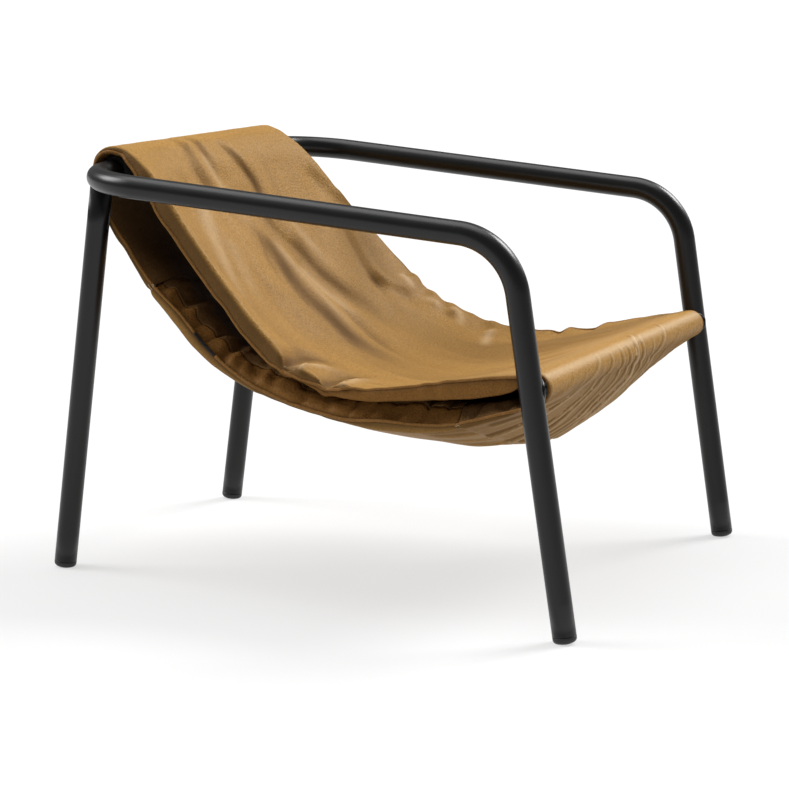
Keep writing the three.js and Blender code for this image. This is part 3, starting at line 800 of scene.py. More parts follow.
def beside(panel, path, width, fades):
    """The points near a path, how many widths each lies to its right, the width there, and the path's strength.
    fades are the shares of its length over which it begins and ends."""
    line = smooth_path(path)
    widths = np.linspace(*(width if isinstance(width, tuple) else (width, width)), len(line))
    reach = 6 * widths.max()
    low, high = line.min(0) - reach, line.max(0) + reach
    near = ((panel.c > low[0]) & (panel.c < high[0]) & (panel.along > low[1]) & (panel.along < high[1])
            & (panel.inner < 0.9))
    at = np.stack([panel.c[near], panel.along[near]], 1)
    spans = np.diff(line, axis=0)
    best, share_along, aside = np.full(len(at), np.inf), np.zeros(len(at)), np.zeros(len(at))
    for index, (start, span) in enumerate(zip(line[:-1], spans)):
        t = np.clip((at - start) @ span / (span @ span), 0, 1)
        gap = at - start - t[:, None] * span
        distance = np.hypot(*gap.T)
        closer = distance < best
        best[closer], share_along[closer] = distance[closer], (index + t[closer]) / len(spans)
        aside[closer] = np.sign(span[1] * gap[closer, 0] - span[0] * gap[closer, 1]) * distance[closer]
    w = np.interp(share_along, np.linspace(0, 1, len(widths)), widths)
    strength = eased(share_along / max(fades[0], 1e-6)) * eased((1 - share_along) / max(fades[1], 1e-6))
    ends = (share_along <= 0) | (share_along >= 1)
    strength = strength * np.where(ends, np.exp(-(best / w) ** 2 / 4), 1)
    strength = strength * (1 - eased((panel.inner[near] - 0.1) / 0.6))
    return near, aside / w, w, strength


def add_flank(panel, path, slope, width, fades=(.25, .35), tail=1.7, ridge=1.0, valley=1.0):
    """A fold whose steep side lies on the path: the leather rises to the right of the path and dips to its left."""
    near, t, w, strength = beside(panel, path, width, fades)
    size = np.abs(t)
    wave = np.where(size < 1, np.sin(math.pi / 2 * np.minimum(size, 1)), np.exp(-((size - 1) / tail) ** 2))
    part = ridge * (1 + np.tanh(4 * t)) / 2 + valley * (1 - np.tanh(4 * t)) / 2
    panel.lift[near] += slope * w / 1.57 * strength * np.sign(t) * wave * part


def add_crest(panel, path, height, width, fades=(.1, .4), sharp=1.5):
    """A ridge along the path, or a valley when the height is negative. Under 2, sharp makes its top a crease."""
    near, t, w, strength = beside(panel, path, width, fades)
    panel.lift[near] += height * strength * np.exp(-np.abs(t) ** sharp)


def add_mark(field, panel, path, amount, width, fades=(.25, .35)):
    """Adds to a field of the panel, such as its painted highlight or painted shade, in a soft streak along a path."""
    near, t, w, strength = beside(panel, path, width, fades)
    field[near] += amount * strength * np.exp(-t ** 2)


# The long folds. The ones nearest the middle go deepest.
# Each panel's fields of painted highlight and painted shade on its leather, which the marks below add to
for panel in (seat, under):
    panel.rubbed, panel.unworn = np.zeros_like(panel.x), np.zeros_like(panel.x)
deep = 1.5, 0.6, 1.2
for path, slope, width, *shape in [
        ([(30, 262), (44, 315), (55, 335), (60, 357), (50, 388), (38, 414), (47, 444), (66, 471), (77, 507),
          (95, 545), (113, 578), (113, 620), (130, 660)], 0.34, (10, 28), (.08, .3), *deep),
        ([(-22, 400), (-14, 430), (-8, 462), (-8, 489), (-13, 525), (-8, 558), (2, 587), (3, 629), (7, 671),
          (0, 725)], 0.28, (17, 29), (.3, .35), 1.6, *deep[1:]),
        ([(-52, 244), (-65, 262), (-72, 285), (-84, 306), (-84, 332), (-66, 372), (-44, 410)],
         0.32, (8, 18), (.12, .5), *deep),
        ([(-22, 250), (-28, 275), (-31, 298), (-34, 318), (-36, 345)], 0.30, (8, 14), (.15, .5), *deep),
        ([(-112, 330), (-133, 372), (-144, 402), (-150, 430), (-160, 470)], 0.24, (13, 26), (.3, .4), *deep),
        ([(216, 330), (230, 350), (240, 376), (249, 400), (258, 425), (262, 450)],
         0.28, (14.5, 21.8), (.3, .3), 1.4),
        ([(222, 440), (216, 468), (207, 501), (198, 534), (193, 566), (184, 610), (170, 650)],
         0.33, (7.2, 13), (.15, .4), 1.2),
        ([(180, 540), (194, 561), (209, 578), (232, 597), (256, 616)], 0.35, (10.2, 14.5), (.25, .3), 1.4),
        ([(-96, 470), (-84, 520), (-72, 575), (-66, 630), (-80, 690)], 0.20, (23.2, 34.8), (.4, .4)),
        ([(60, 560), (66, 600), (64, 650), (48, 700)], 0.25, (14.5, 23.2), (.4, .4))]:
    add_flank(seat, path, slope, width, *shape)
add_crest(seat, [(-128, 360), (-150, 400), (-180, 450), (-200, 495), (-206, 540)], 3.02, (14.5, 29), (.3, .5), 2)
# Painted shade along the folds and in the two tucks
for path, amount, width in [
        ([(66, 440), (72, 465), (76, 507), (95, 549), (114, 578), (118, 620), (128, 662)], .5, (10, 20)),
        ([(-14, 420), (-8, 462), (-8, 489), (-13, 525), (-8, 558), (2, 587), (3, 629), (7, 671), (16, 740)],
         .72, (13, 20)),
        ([(-22, 420), (-26, 447), (-40, 483), (-45, 530)], .35, 8),
        ([(-60, 262), (-76, 300), (-70, 360), (-50, 405)], .5, (6, 13)),
        ([(-26, 262), (-32, 300), (-34, 350)], .45, (5, 10)),
        ([(34, 285), (52, 335), (58, 360), (48, 392), (60, 450)], .6, (5, 11)),
        ([(-350, 690), (-300, 674), (-267, 660), (-215, 654), (-180, 654), (-150, 664), (-114, 690)], 1.0, (11, 14)),
        ([(-350, 752), (-300, 736), (-255, 722), (-199, 712), (-160, 711), (-125, 716), (-90, 730)], 1.0, (9, 12))]:
    add_mark(seat.unworn, seat, path, amount, width, (.12, .4))
# Painted highlights along their crests
for path, amount, width in [
        ([(-104, 335), (-118, 366), (-144, 402), (-171, 444), (-198, 486), (-217, 528), (-236, 569)], .36, (12, 22)),
        ([(-113, 429), (-133, 474), (-152, 522), (-163, 561)], .16, 16),
        ([(12, 440), (14, 500), (22, 560), (28, 640)], .26, 10),
        ([(-44, 285), (-48, 330), (-34, 380), (-20, 430)], .3, (6, 10)),
        ([(84, 380), (94, 460), (112, 520)], .24, 10),
        ([(32, 492), (41, 537), (63, 578), (74, 617)], .34, 12),
        ([(258, 565), (256, 584), (260, 603)], .5, 8), ([(264, 618), (261, 635), (256, 654)], .4, 8),
        ([(279, 656), (271, 677), (231, 701)], .4, 7), ([(268, 738), (233, 746), (185, 761)], .4, 7),
        ([(-350, 706), (-305, 692), (-290, 686), (-218, 677), (-184, 685), (-146, 694)], .5, (4, 7)),
        ([(-350, 776), (-300, 760), (-275, 748), (-221, 735), (-163, 727), (-112, 731)], .45, (4, 7))]:
    add_mark(seat.rubbed, seat, path, 0.85 * amount, width, (.15, .4))

# The two tucks at the right edge, each a valley and a crease-topped crest below it, and the dip beyond the second
for path, height, width, fades, sharp in [
        ([(-350, 690), (-300, 672), (-267, 657), (-215, 649), (-180, 647), (-150, 658), (-114, 684)],
         -11, (9, 12), (.02, .5), 1.8),
        ([(-350, 708), (-305, 694), (-290, 688), (-218, 677), (-184, 685), (-146, 694), (-116, 710)],
         7, (7, 9), (.02, .6), 1.3),
        ([(-350, 752), (-300, 734), (-255, 718), (-199, 706), (-160, 703), (-125, 708), (-90, 722)],
         -10, (8, 11), (.02, .55), 1.8),
        ([(-350, 778), (-302, 762), (-275, 749), (-221, 735), (-163, 727), (-112, 731), (-84, 744)],
         6, (6, 9), (.02, .6), 1.3),
        ([(-350, 800), (-290, 792), (-240, 780), (-190, 772)], -1.6, (8, 14), (.05, .6), 2)]:
    add_crest(seat, path, height, width, fades, sharp)
# The far edge crumples into short folds and a few round bumps
for path, slope, width in [
        ([(330, 560), (290, 570), (262, 584), (236, 606)], 0.38, (7, 10)),
        ([(330, 604), (290, 612), (262, 630), (240, 656)], 0.38, (7, 10)),
        ([(330, 640), (285, 650), (262, 672), (226, 704)], 0.38, (7, 11)),
        ([(330, 716), (290, 722), (258, 740), (200, 762)], 0.38, (8, 12)),
        ([(330, 792), (290, 794), (262, 802), (236, 815)], -0.38, (7, 10)),
        ([(330, 842), (290, 846), (252, 856)], 0.38, (7, 11)),
        ([(330, 900), (292, 902), (250, 904)], 0.38, (7, 10)),
        ([(330, 480), (290, 488), (262, 500)], 0.33, (7, 10))]:
    add_flank(seat, path, slope, width, (.05, .6), 1.4)
for spot in [(258, 579), (260, 640), (268, 668), (252, 742)]:
    away = np.hypot((seat.c - spot[0]) / 13, (seat.along - spot[1]) / 10)
    seat.lift += 3.2 * np.exp(-away ** 2) * (seat.inner < 0.9)

# The pleats below the roll, read from the right edge to the left
for path, slope, widths in [
        ([(-226, 1056), (-231, 1076), (-253, 1084), (-285, 1090), (-320, 1100)], 0.5, (3, 6)),
        ([(-180, 1052), (-184, 1074), (-200, 1092), (-232, 1112), (-262, 1140), (-280, 1200)], 0.49, (3, 7)),
        ([(-119, 1046), (-124, 1060), (-140, 1075), (-170, 1090), (-205, 1108), (-212, 1140), (-230, 1240)],
         0.90, (2.2, 6)),
        ([(-108, 1062), (-120, 1086), (-136, 1106), (-146, 1134), (-152, 1170), (-170, 1240)], 0.80, (2.6, 6)),
        ([(-76, 1056), (-84, 1076), (-98, 1094), (-118, 1110), (-126, 1140), (-122, 1180), (-130, 1240)],
         0.84, (2.6, 6)),
        ([(-54, 1062), (-60, 1084), (-74, 1104), (-88, 1128), (-88, 1170), (-90, 1240)], 0.61, (2.4, 5)),
        ([(-34, 1052), (-41, 1074), (-36, 1096), (-46, 1116), (-64, 1136), (-56, 1170), (-56, 1240)], 0.87, (2.6, 6)),
        ([(-8, 1052), (-12, 1074), (-4, 1098), (-16, 1116), (-34, 1142), (-44, 1176), (-40, 1240)], 0.90, (2.4, 6)),
        ([(48, 1034), (40, 1046), (24, 1058), (16, 1076), (22, 1098), (26, 1116), (10, 1138), (-10, 1176),
          (-14, 1240)], 1.23, (2.4, 6)),
        ([(66, 1048), (46, 1062), (43, 1078), (56, 1104), (52, 1120), (30, 1150), (20, 1240)], 0.87, (2.4, 6)),
        ([(100, 1046), (90, 1062), (85, 1082), (86, 1102), (66, 1124), (50, 1240)], 0.80, (2.4, 6)),
        ([(162, 1036), (153, 1050), (143, 1062), (126, 1078), (106, 1094), (92, 1130), (84, 1240)], 0.90, (2.2, 6)),
        ([(206, 1050), (207, 1066), (188, 1080), (156, 1100), (130, 1150), (120, 1240)], 0.5, (2.6, 6)),
        ([(250, 1052), (246, 1072), (222, 1096), (190, 1130), (170, 1240)], 0.4, (3, 7)),
        ([(286, 1056), (280, 1080), (258, 1110), (230, 1160), (215, 1240)], 0.36, (3, 7))]:
    add_flank(seat, path, slope, widths, (.1 if slope > 0.8 else .4, .04), 1.1, 1.0, .5)
    # Each pleat's crest takes a painted highlight and its hollow painted shade
    crest, hollow = ([(across + aside, along) for across, along in path] for aside in (3, -4))
    add_mark(seat.rubbed, seat, crest, 0.9 * max(slope - 0.6, 0), (1.6, 3), (.3, .5))
    add_mark(seat.unworn, seat, hollow, 0.18 * slope, (2.4, 4.5), (.35, .2))
    past_seam = [(path[-1][0] + across, along) for across, along in ((0, -2), (-6, 30), (-8, 70), (-4, 120))]
    add_flank(under, past_seam, slope * .9, (widths[1], widths[1] + 3), (0, .75), 1.2, 1.0, .6)
# and the finer ones between them
for panel, start in ((seat, 0), (under, seat.length)):
    run = panel.along + start
    slanting = panel.c + 62 * (1 - np.exp(-np.maximum(run - 1045, 0) / 80)) + 0.08 * np.maximum(run - seat.length, 0)
    fineness = eased((run - 1058) / 44) * (1 - eased((run - seat.length - 50) / 130))
    fineness = fineness * (1 - eased(panel.inner / 0.5))
    patchy = 0.35 + 0.9 * eased(0.5 + 1.1 * smooth_noise(slanting / 55 + 4, run / 140, 54))
    for across, down, height, seed in ((19, 150, 0.2, 51), (8.5, 120, 0.2, 52), (4.6, 80, 0.16, 53)):
        ridges = smooth_noise(slanting / across + 9, run / down, seed)
        panel.lift += height * fineness * patchy * (1 - 1.6 * np.abs(ridges))

# Everywhere: the slow unevenness of wadding, the small crumple of soft leather, gathers square to the side seams, and
# the seams themselves, which pull the leather in
for panel, seed in ((seat, 3), (under, 13)):
    slack = eased((panel.along - 230) / 160) * eased((1010 - panel.along) / 60) if panel is seat else 1.0
    panel.lift += 1.8 * smooth_noise(panel.c / 62 + 3, panel.along / 115 + 7, seed) * slack
    slant = panel.c + 0.12 * panel.along
    panel.lift += 0.8 * smooth_noise(slant / 21 + 5, panel.along / 150 + 2, seed + 7) * slack
    panel.lift += 0.4 * smooth_noise(panel.c / 24 + 11, panel.along / 34 + 5, seed + 1) * (.3 + .7 * slack)
    panel.lift += 0.07 * smooth_noise(panel.c / 6 + 2, panel.along / 8 + 9, seed + 2)
    for welt, sign in ((0, -1), (panel.left_welt, 1)):
        beyond = sign * (panel.c - panel.c[:, welt:welt + 1])
        same_side = sign * panel.c > 0
        gathers = smooth_noise(panel.along / 15 + beyond / 60, 3.0 + 0 * panel.c, seed + 3 + sign)
        panel.lift += same_side * (0.9 * gathers * np.exp(-(beyond / 16) ** 2) - 1.3 * np.exp(-(beyond / 2.6) ** 2))
    seam_away = np.minimum(panel.along, panel.length - panel.along)
    panel.lift -= 2.0 * np.exp(-(seam_away / 3.6) ** 2)
    panel.lift += 0.8 * smooth_noise(panel.c / 14 + 8, panel.along / 300, seed + 6) * np.exp(-seam_away / 20)

# Painted shade on the seat: soft darker streaks that run with the folds, and more of it towards the far side
for across, down, amount, seed in ((56, 210, 0.26, 61), (24, 130, 0.06, 62)):
    streaks = smooth_noise((seat.c - 0.32 * seat.along) / across + 7, seat.along / down, seed)
    streaks = np.clip(streaks + 0.25, 0, 1) * eased((seat.along - 300) / 200) * eased((1030 - seat.along) / 60)
    seat.unworn += amount * streaks
far_share = 0.12 + 0.16 * eased((seat.c - 20) / 160)
seat.unworn += far_share * eased((seat.along - 600) / 160) * eased((1042 - seat.along) / 40)
# The lower panel's front is drawn up in its middle
drawn_up = eased((290 - under.along) / 140) * (1 - np.abs(under.x / under.half[:, None]) ** 6)
under.lift -= 4.5 * (under.inner < 0.1) * drawn_up

# The bunched padding inside the lower seams, with creases square to the seam
for panel, seed in ((seat, 41), (under, 44)):
    from_welt = np.where(panel.inner > 0.3, np.maximum(np.abs(panel.c) - np.abs(panel.c[:, :1]), 0), 0)
    billow = eased(from_welt / 30) * (1 - 0.8 * eased((from_welt - 40) / 110))
    hang = panel.belly[:, None] * (1 - np.clip(np.abs(panel.x) / panel.half[:, None], 0, 1) ** 2) ** 1.2
    swell = panel.bulge[:, None]
    creases = smooth_noise(panel.along / 26 + from_welt / 80, from_welt / 60 + 4, seed)
    fine_creases = smooth_noise(panel.along / 9, from_welt / 40 + 4, seed + 1)
    at_front_seam = np.exp(-((panel.along - (seat.length if panel is seat else 0)) / 34) ** 2)
    crumple = -6.5 * (1 - np.abs(creases)) ** 3 - 2.6 * at_front_seam * (1 - np.abs(fine_creases)) ** 4
    puckers = 2.6 * smooth_noise(panel.along / 13 - from_welt / 26, from_welt / 50 + 9, seed + 2)
    crumple += puckers * np.exp(-(from_welt / 45) ** 2)
    lined = (panel.inner > 0.3) * eased(from_welt / 9) * (1 - eased((from_welt - 45) / 70))
    panel.lift += billow * (swell + hang) * eased(swell / 4) + crumple * lined * eased(swell / 8)
    for ridge_at, height in ((516, 4), (474, 7), (369, 6), (310, 3)) if panel is under else ():
        beyond = panel.along - ridge_at - 0.06 * from_welt
        ridge = np.exp(-(beyond / 8) ** 2) - 0.8 * np.exp(-((beyond - 16) / 9) ** 2)
        ridge = ridge * (panel.inner > 0.3) * eased(from_welt / 12) * (1 - eased((from_welt - 70) / 60))
        panel.lift += height * ridge

# The lining follows the leather's folds, but less, and no fold goes deeper than the padding is thick
for panel in (seat, under):
    lining = np.s_[panel.left_tuck:panel.right_tuck + 1]
    outer = np.s_[:panel.left_welt + 1]
    for row in range(len(panel.s)):
        across = np.interp(panel.x[row, lining], panel.x[row, outer], panel.lift[row, outer])
        panel.lift[row, lining] -= 0.4 * across
    deepest = np.maximum(0.5 * panel.full - 1.2, 0.4)[:, None]
    panel.lift = np.where(panel.lift < 0, -deepest * np.tanh(-panel.lift / deepest), panel.lift)


# The sling's leather: aniline-dyed camel hide with a fine pebble grain, with painted shade in its folds, grooves and
# on its sides turned from the light, and painted highlights on its crests and along the front roll.
def hide(name, light, dark, roughness, turned=None, rubbed=None, speckle=0.8):
    """Leather. turned is the colour of its painted shade: where it turns over an edge, in folds and grooves, below the
    roll and on sides turned from the light. The colour after it is that of its painted highlights, on the roll and on
    crests.
    The amounts of each are read from the mesh's point attributes of the same names as these two arguments."""
    finish = Finish(name, Specular_IOR_Level=0.045, Specular_Tint=(1.0, 0.8, 0.55, 1))
    cloud = finish.noise(5.5, 4.0, 0.55).clamped(0.3, 0.7)
    mottle = finish.noise(70, 3.0, 0.6)
    cells = finish.node("ShaderNodeTexVoronoi", {"feature": "SMOOTH_F1"},
                        {"Vector": finish.place(), "Scale": 370, "Smoothness": 0.35, "Randomness": 1.0})
    wrinkle = finish.noise(330, 2.5, 0.6)
    grain = cells * 0.6 + wrinkle * 1.1
    tone = finish.mixed(cloud * 0.7 + mottle * 0.3, dark, light)
    colour = finish.mixed(wrinkle.clamped(0.4, 0.6) * 0.5 + cells.clamped(0.15, 0.55) * 0.5,
                          tuple(speckle * part for part in dark), tone)
    matt = 0
    # Painted shade and, over it, painted highlights, by the amounts in the mesh's attributes; the shaded parts are
    # also a little rougher
    if turned:
        painted_shade_amount = finish.node("ShaderNodeAttribute", {"attribute_name": "turned"}, {}, "Fac")
        colour = finish.mixed(painted_shade_amount, colour, turned)
        matt = painted_shade_amount * 0.25
        worn = finish.node("ShaderNodeAttribute", {"attribute_name": "rubbed"}, {}, "Fac")
        colour = finish.mixed(worn * (0.75 + mottle * 0.5), colour, rubbed)
    finish.link(
        Base_Color=colour,
        Roughness=roughness + (mottle - 0.5) * 0.12 + (cells - 0.4) * 0.1 + matt,
        Normal=finish.bump(grain, 0.7, 0.0009, finish.bump(mottle, 0.3, 0.0012)),
    )
    return finish


# The colours after the roughness are those of painted shade and of painted highlights
camel = hide("camel_leather", (0.432, 0.238, 0.068), (0.352, 0.192, 0.053), 0.36, (0.132, 0.070, 0.024),
             (0.60, 0.44, 0.27), 0.62)
# The side bands' leather is a darker copy of the camel leather: painted shade on the sides, which face away from the
# light
camel_sides_painted_shade = hide("camel_leather_sides_painted_shade", (0.240, 0.112, 0.030), (0.190, 0.088, 0.023), 0.44, (0.050, 0.022, 0.007),
                  (0.30, 0.16, 0.06))
welt_hide = hide("camel_leather_piping", (0.262, 0.130, 0.040), (0.205, 0.100, 0.030), 0.42)
lining_hide = hide("brown_lining", (0.190, 0.103, 0.040), (0.145, 0.077, 0.029), 0.55)


def ring_normals(grid):
    down_rows = np.gradient(grid, axis=0)
    along_ring = np.roll(grid, -1, 1) - np.roll(grid, 1, 1)
    return unit(np.cross(along_ring, down_rows))


def put_closed(name, outer, inside, finish, steps=(1, 1)):
    """A closed body between two grids of points in millimetres. The inner one may have wider steps, given as along
    and across."""
    rows, count = outer.shape[:2]
    index = np.arange(rows * count).reshape(rows, count)
    back = rows * count + np.arange(inside.shape[0] * inside.shape[1]).reshape(inside.shape[:2])
    faces = np.stack([index[:-1, :-1], index[:-1, 1:], index[1:, 1:], index[1:, :-1]], -1).reshape(-1, 4).tolist()
    faces += np.stack([back[:-1, :-1], back[1:, :-1], back[1:, 1:], back[:-1, 1:]], -1).reshape(-1, 4).tolist()
    for edge, inner_edge, step in ((index[0], back[0], steps[1]), (index[-1, ::-1], back[-1, ::-1], steps[1]),
                                   (index[:, -1], back[:, -1], steps[0]), (index[::-1, 0], back[::-1, 0], steps[0])):
        for k in range(len(inner_edge) - 1):
            faces.append([*edge[k * step:(k + 1) * step + 1][::-1], inner_edge[k], inner_edge[k + 1]])
    return put(name, np.concatenate([outer.reshape(-1, 3), inside.reshape(-1, 3)]) * MM, faces, finish)


def put_pad(name, panel, finish):
    """The wadding between a panel's skins, on every second point of its ring. It lies this far inside the side seams
    and under the skins, or a share of the thickness where that is thin, and doesn't follow the narrow creases."""
    seam_inset, skin_gap, thin_gap_share = 5.5, 3.4, 0.34
    under_crease, least_half = 0.5, 0.3
    picked = np.arange(0, panel.count, 2)
    rows = np.unique(np.concatenate([np.arange(0, len(panel.s), 2), [len(panel.s) - 1]]))
    lowest = panel.lift
    for _ in range(3):
        above, below = np.vstack([lowest[:1], lowest[:-1]]), np.vstack([lowest[1:], lowest[-1:]])
        lowest = np.minimum.reduce([lowest, above, below, np.roll(lowest, 1, 1), np.roll(lowest, -1, 1)])
    gap = np.minimum(thin_gap_share * panel.full, skin_gap)[:, None]
    own = panel.x, panel.depth, panel.lift
    panel.x = panel.x * (1 - seam_inset / panel.half[:, None])
    panel.depth = gap + panel.depth * (1 - 2 * gap / panel.full[:, None])
    panel.lift = np.maximum(lowest - under_crease, -0.5 * panel.full[:, None] + gap + least_half)
    points = panel.points()[rows][:, picked] * MM
    panel.x, panel.depth, panel.lift = own
    faces = [list(face)[::-1] for face in ring_faces(len(rows), len(picked))]
    last = (len(rows) - 1) * len(picked)
    faces += [list(range(len(picked))), list(range(last + len(picked) - 1, last - 1, -1))]
    return put(name, points.reshape(-1, 3), faces, finish)


def put_cords(name, lines, radius, finish, sides=8):
    """One mesh of closed round bodies along lines of points in millimetres."""
    points, faces = [], []
    for line in lines:
        start = len(points) * sides
        points.extend(round_points(line * MM, radius * MM, sides))
        last = start + (len(line) - 1) * sides
        faces += [[start + corner for corner in face] for face in ring_faces(len(line), sides)]
        faces += [list(range(start, start + sides))[::-1], list(range(last, last + sides))]
    return put(name, np.concatenate(points), faces, finish)


def pattern(panel, first, last):
    columns = np.arange(first, last + 1) % panel.count
    widths = np.hypot(np.diff(panel.x[:, columns]), np.diff(panel.depth[:, columns])).sum(1) * MM
    area = ((widths[1:] + widths[:-1]) / 2 * np.diff(panel.s)).sum() * MM
    return {"flat": (widths.max(), panel.length * MM), "area": area}


def leather_tones(panel):
    """Over a panel's ring: how much painted shade its leather takes, how much painted highlight, and the painted shade
    in the groove beside a welt alone. Sizes and places along the panel are in millimetres."""
    lift, c, along = panel.lift, panel.c, panel.along
    # Painted shade in narrow and broad hollows and on fold sides that rise towards +X and so face away from the main
    # lights
    narrow = (np.roll(lift, 2, 1) + np.roll(lift, -2, 1)) / 2 - lift
    broad = (np.roll(lift, 6, 1) + np.roll(lift, -6, 1)) / 2 - lift
    climb = (np.roll(lift, -2, 1) - np.roll(lift, 2, 1)) / np.abs(np.roll(c, -2, 1) - np.roll(c, 2, 1))
    fold_shade = 0.5 * eased(narrow / 0.9) + 0.2 * eased(broad / 3.0) + 0.4 * eased((climb - 0.06) / 0.4)
    # Painted shade in the groove beside each welt
    from_seam = np.minimum(np.abs(c - c[:, :1]), np.abs(c - c[:, panel.left_welt:panel.left_welt + 1]))
    seam_groove_shade = 0.9 * np.exp(-(from_seam / 5.0) ** 2)
    # Painted shade on the flank turned over the edge, below the roll and near the right edge; a painted highlight
    # along the front roll and on pleat crests
    if panel is seat:
        in_front, flank_shade, below_roll_shade = eased((along - 1055) / 30), 1, 0.45 * eased((along - 1066) / 30)
        roll_highlight, turned_under = np.exp(-((along - 1058) / 6.5) ** 2), eased((along - 1100) / 60)
    else:
        in_front, flank_shade, below_roll_shade = eased((150 - along) / 60), 0.35, 0.34
        roll_highlight, turned_under = 0, 1
    fold_shade = fold_shade * (1 - 0.5 * in_front) + panel.unworn
    flank_shade = flank_shade * eased((panel.inner - 0.03) / 0.16)
    right_edge_shade = 0.32 * np.exp(-((panel.half[:, None] + panel.x) / 70) ** 2) * (1 - flank_shade) * turned_under
    unworn = np.maximum(flank_shade, np.clip(fold_shade + below_roll_shade + right_edge_shade + seam_groove_shade, 0, 1))
    worn = 0.5 * roll_highlight + 0.2 * eased(-narrow / 0.8) * eased((along - 1030) / 40) + panel.rubbed
    return unworn, np.clip(worn, 0, 1) * (1 - flank_shade) * (1 - seam_groove_shade), seam_groove_shade


for panel in (seat, under):
    panel.grid = panel.points()
    panel.normals = ring_normals(panel.grid)
    if (panel.normals[len(panel.s) // 2, panel.left_welt // 2, 1:] @ panel.normal[len(panel.s) // 2]) < 0:
        panel.normals = -panel.normals

# A short stretch of the lower right seam is a zip: black woven tape, sewn in where the welt leaves off, with moulded
# plastic teeth, closed.
tape_thickness, tape_stand = 0.9, 1.0
tooth_gap, tooth_radius, tooth_stand = 2.6, 0.8, 1.7
tooth_across = [-1.9, -1.2, 0, 1.2, 1.9]

zip_weave = Finish("zip_tape_weave", Roughness=0.85, Specular_IOR_Level=0.2)
weave = zip_weave.node("ShaderNodeTexWave", {"wave_type": "BANDS", "bands_direction": "DIAGONAL"},
                       {"Vector": zip_weave.place(), "Scale": 420.0, "Distortion": 0.6})
zip_weave.link(Base_Color=zip_weave.mixed(weave, (0.006, 0.006, 0.007), (0.016, 0.016, 0.017)),
               Normal=zip_weave.bump(weave, 0.6, 0.0003))
zip_plastic = Finish("zip_teeth_plastic", Specular_IOR_Level=0.4)
zip_grain = zip_plastic.noise(900, 2.0)
zip_plastic.link(Base_Color=zip_plastic.mixed(zip_grain, (0.007, 0.007, 0.007), (0.014, 0.014, 0.014)),
                 Roughness=0.3 + zip_grain * 0.15)

zip_low, zip_high = (np.array(corner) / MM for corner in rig.box("under_edge_zip"))
seam = under.grid[:, 0, 1:]
zip_rows = np.flatnonzero(((seam > zip_low[1:] - 1) & (seam < zip_high[1:] + 1)).all(1))
zip_start, zip_end = zip_rows[0], zip_rows[-1]


def put_zip():
    """The tape, which lies on the seam, and the teeth, each a short round bar across it."""
    rows = np.arange(zip_start, zip_end + 1)
    across_tape = np.arange(-2, 2) % under.count
    out = under.normals[rows][:, across_tape]
    top = under.grid[rows][:, across_tape] + out * tape_stand
    top[:, 2] += 0.5 * under.normals[rows, 0]
    tape = put_closed("zip_tape", top, top - out * tape_thickness, zip_weave)
    fix(tape, "zip_tape", "under_edge_zip")
    lines = []
    for at in np.arange(1.5, under.s[zip_end] - under.s[zip_start] - 1, tooth_gap) + under.s[zip_start]:
        middle, out = (np.array([np.interp(at, under.s, field[:, 0, axis]) for axis in range(3)])
                       for field in (under.grid, under.normals))
        row = int(np.searchsorted(under.s, at))
        aside = unit(under.grid[row, 1] - under.grid[row, -1])
        lines.append(middle + out * tooth_stand + np.outer(tooth_across, aside))
    teeth = put_cords("zip_teeth", lines, tooth_radius, zip_plastic, 6)
    fix(teeth, "zip_tape")
    return [tape, teeth]


# Each of the sling's two panels: an outer skin and a lining of leather, a band between them along each side, which is
# sewn to the skin with a welt in the seam, and wadding inside. The skins' inner faces have wider steps, since they
# don't show.
skin_thickness, band_thickness, lining_thickness = 1.2, 1.0, 0.8
skin_steps, welt_radius, welt_stand = (3, 4), 2.3, 0.5

wadding = Finish("quilt_wadding", Roughness=0.95, Specular_IOR_Level=0.2)
fibres = wadding.noise(700, 6.0, 0.7)
wadding.link(Base_Color=wadding.mixed(fibres.clamped(0.35, 0.65), (0.55, 0.52, 0.47), (0.66, 0.63, 0.58)),
             Normal=wadding.bump(fibres, 0.6, 0.0008))

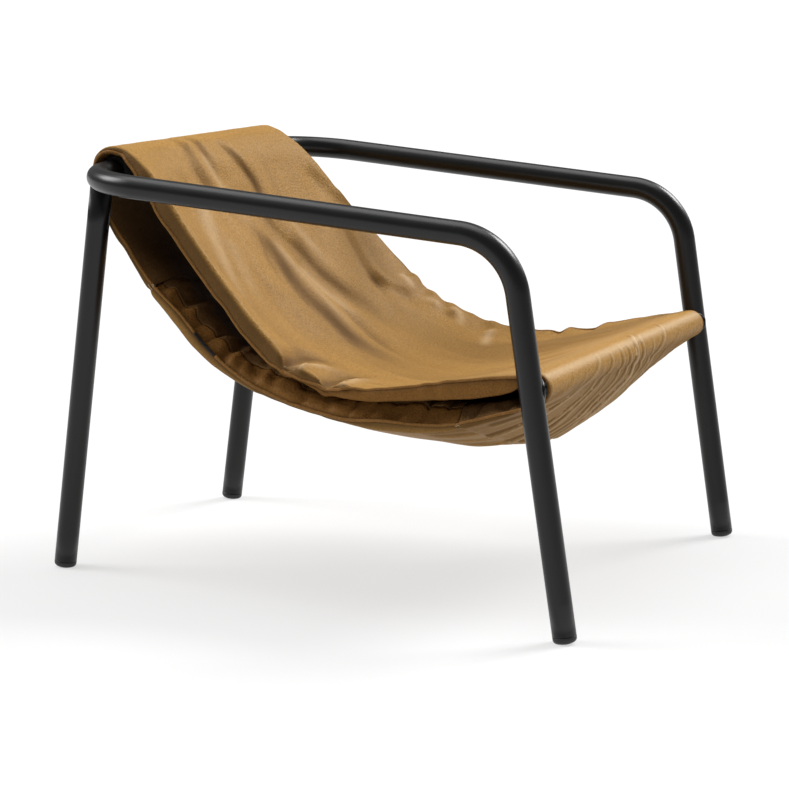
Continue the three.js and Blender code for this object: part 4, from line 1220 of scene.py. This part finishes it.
for panel, label in ((seat, "seat"), (under, "under")):
    unworn, worn, seam_groove_shade = leather_tones(panel)
    # The side bands take painted shade in the groove beside each welt, and no painted highlight
    band = band_thickness, camel_sides_painted_shade, "edge_leather", (1, 1), (seam_groove_shade, 0 * worn)
    shells = {}
    for part, node, first, last, thickness, finish, slot, steps, tones in (
            ("skin", "leather", 0, panel.left_welt, skin_thickness, camel, "sling_leather",
             skin_steps, (unworn, worn)),
            ("side_left", "edge_band_left", panel.left_welt, panel.left_tuck, *band),
            ("backing", "lining", panel.left_tuck, panel.right_tuck, lining_thickness, lining_hide,
             "sling_lining", (1, 1), ()),
            ("side_right", "edge_band_right", panel.right_tuck, panel.count, *band)):
        columns = np.arange(first, last + 1) % panel.count
        outer = panel.grid[:, columns]
        inside = (outer - panel.normals[:, columns] * thickness)[::steps[0], ::steps[1]]
        shell = put_closed(f"{label}_{part}", outer, inside, finish, steps)
        # Amounts of painted shade and painted highlight, stored as point attributes for the leather to read
        for word, field in zip(("turned", "rubbed"), tones):
            amounts = field[:, columns]
            layer = shell.data.attributes.new(word, "FLOAT", "POINT")
            inner_amounts = amounts[::steps[0], ::steps[1]]
            layer.data.foreach_set("value", np.concatenate([amounts.ravel(), inner_amounts.ravel()]))
        fix(shell, slot, f"{label}_{node}")
        shells[part] = shell
    pad = put_pad(f"{label}_pad", panel, wadding)
    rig.padded(pad, fill=0.45)
    fix(pad, "quilt_wadding", f"{label}_wadding")
    edging = [shells["side_left"], shells["side_right"]]
    for side_name, column in (("right", 0), ("left", panel.left_welt)):
        line = panel.grid[:, column] + panel.normals[:, column] * welt_stand
        zipped = panel is under and side_name == "right"
        lines = [line[:zip_start + 1], line[zip_end:]] if zipped else [line]
        welt = put_cords(f"{label}_welt_{side_name}", lines, welt_radius, welt_hide)
        fix(welt, "edge_leather", f"{label}_piping_{side_name}")
        edging.append(welt)
    if panel is under:
        edging += put_zip()
    for part, beside_it, first, last in (("skin", {"with_pieces": edging}, 0, panel.left_welt),
                                         ("backing", {}, panel.left_tuck, panel.right_tuck)):
        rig.sheet(shells[part], held="stretched", rests_on=["bar_foam", "crossbar_tube"], **beside_it,
                 **pattern(panel, first, last))

# Where each cross seam runs out at an edge it is held by a few stitches of waxed linen thread.
thread_radius, stitch_height = 0.45, 1.6
thread = Finish("linen_thread", Roughness=0.7, Specular_IOR_Level=0.2)
thread_twist = thread.node("ShaderNodeTexWave", {"wave_type": "BANDS", "bands_direction": "DIAGONAL"},
                           {"Vector": thread.place(), "Scale": 900.0, "Distortion": 1.5})
thread.link(Base_Color=thread.mixed(thread_twist, (0.42, 0.30, 0.17), (0.58, 0.44, 0.27)),
            Normal=thread.bump(thread_twist, 0.5, 0.0002))
for label, before, before_row, after, after_row in (("front", seat, -1, under, 0), ("rear", under, -1, seat, 0)):
    stitches = []
    for welt_before, welt_after in ((0, 0), (before.left_welt, after.left_welt)):
        for step in (-3, -1, 1, 3):
            start = (before_row - 1, (welt_before + step) % before.count)
            end = (after_row + 1, (welt_after + step) % after.count)
            p, q = before.grid[start], after.grid[end]
            out = unit(before.normals[start] + after.normals[end])
            share = np.linspace(0, 1, 7)[:, None]
            stitches.append(p * (1 - share) + q * share + out * (0.1 + stitch_height * np.sin(math.pi * share)))
    fix(put_cords(f"seam_stitches_{label}", stitches, thread_radius, thread, 6), "edge_leather")

visual_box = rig.bounds()
with open("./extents.json", "w") as sizes:
    json.dump({"cad": [list(corner) for corner in cad_box], "visual": [list(corner) for corner in visual_box]}, sizes)
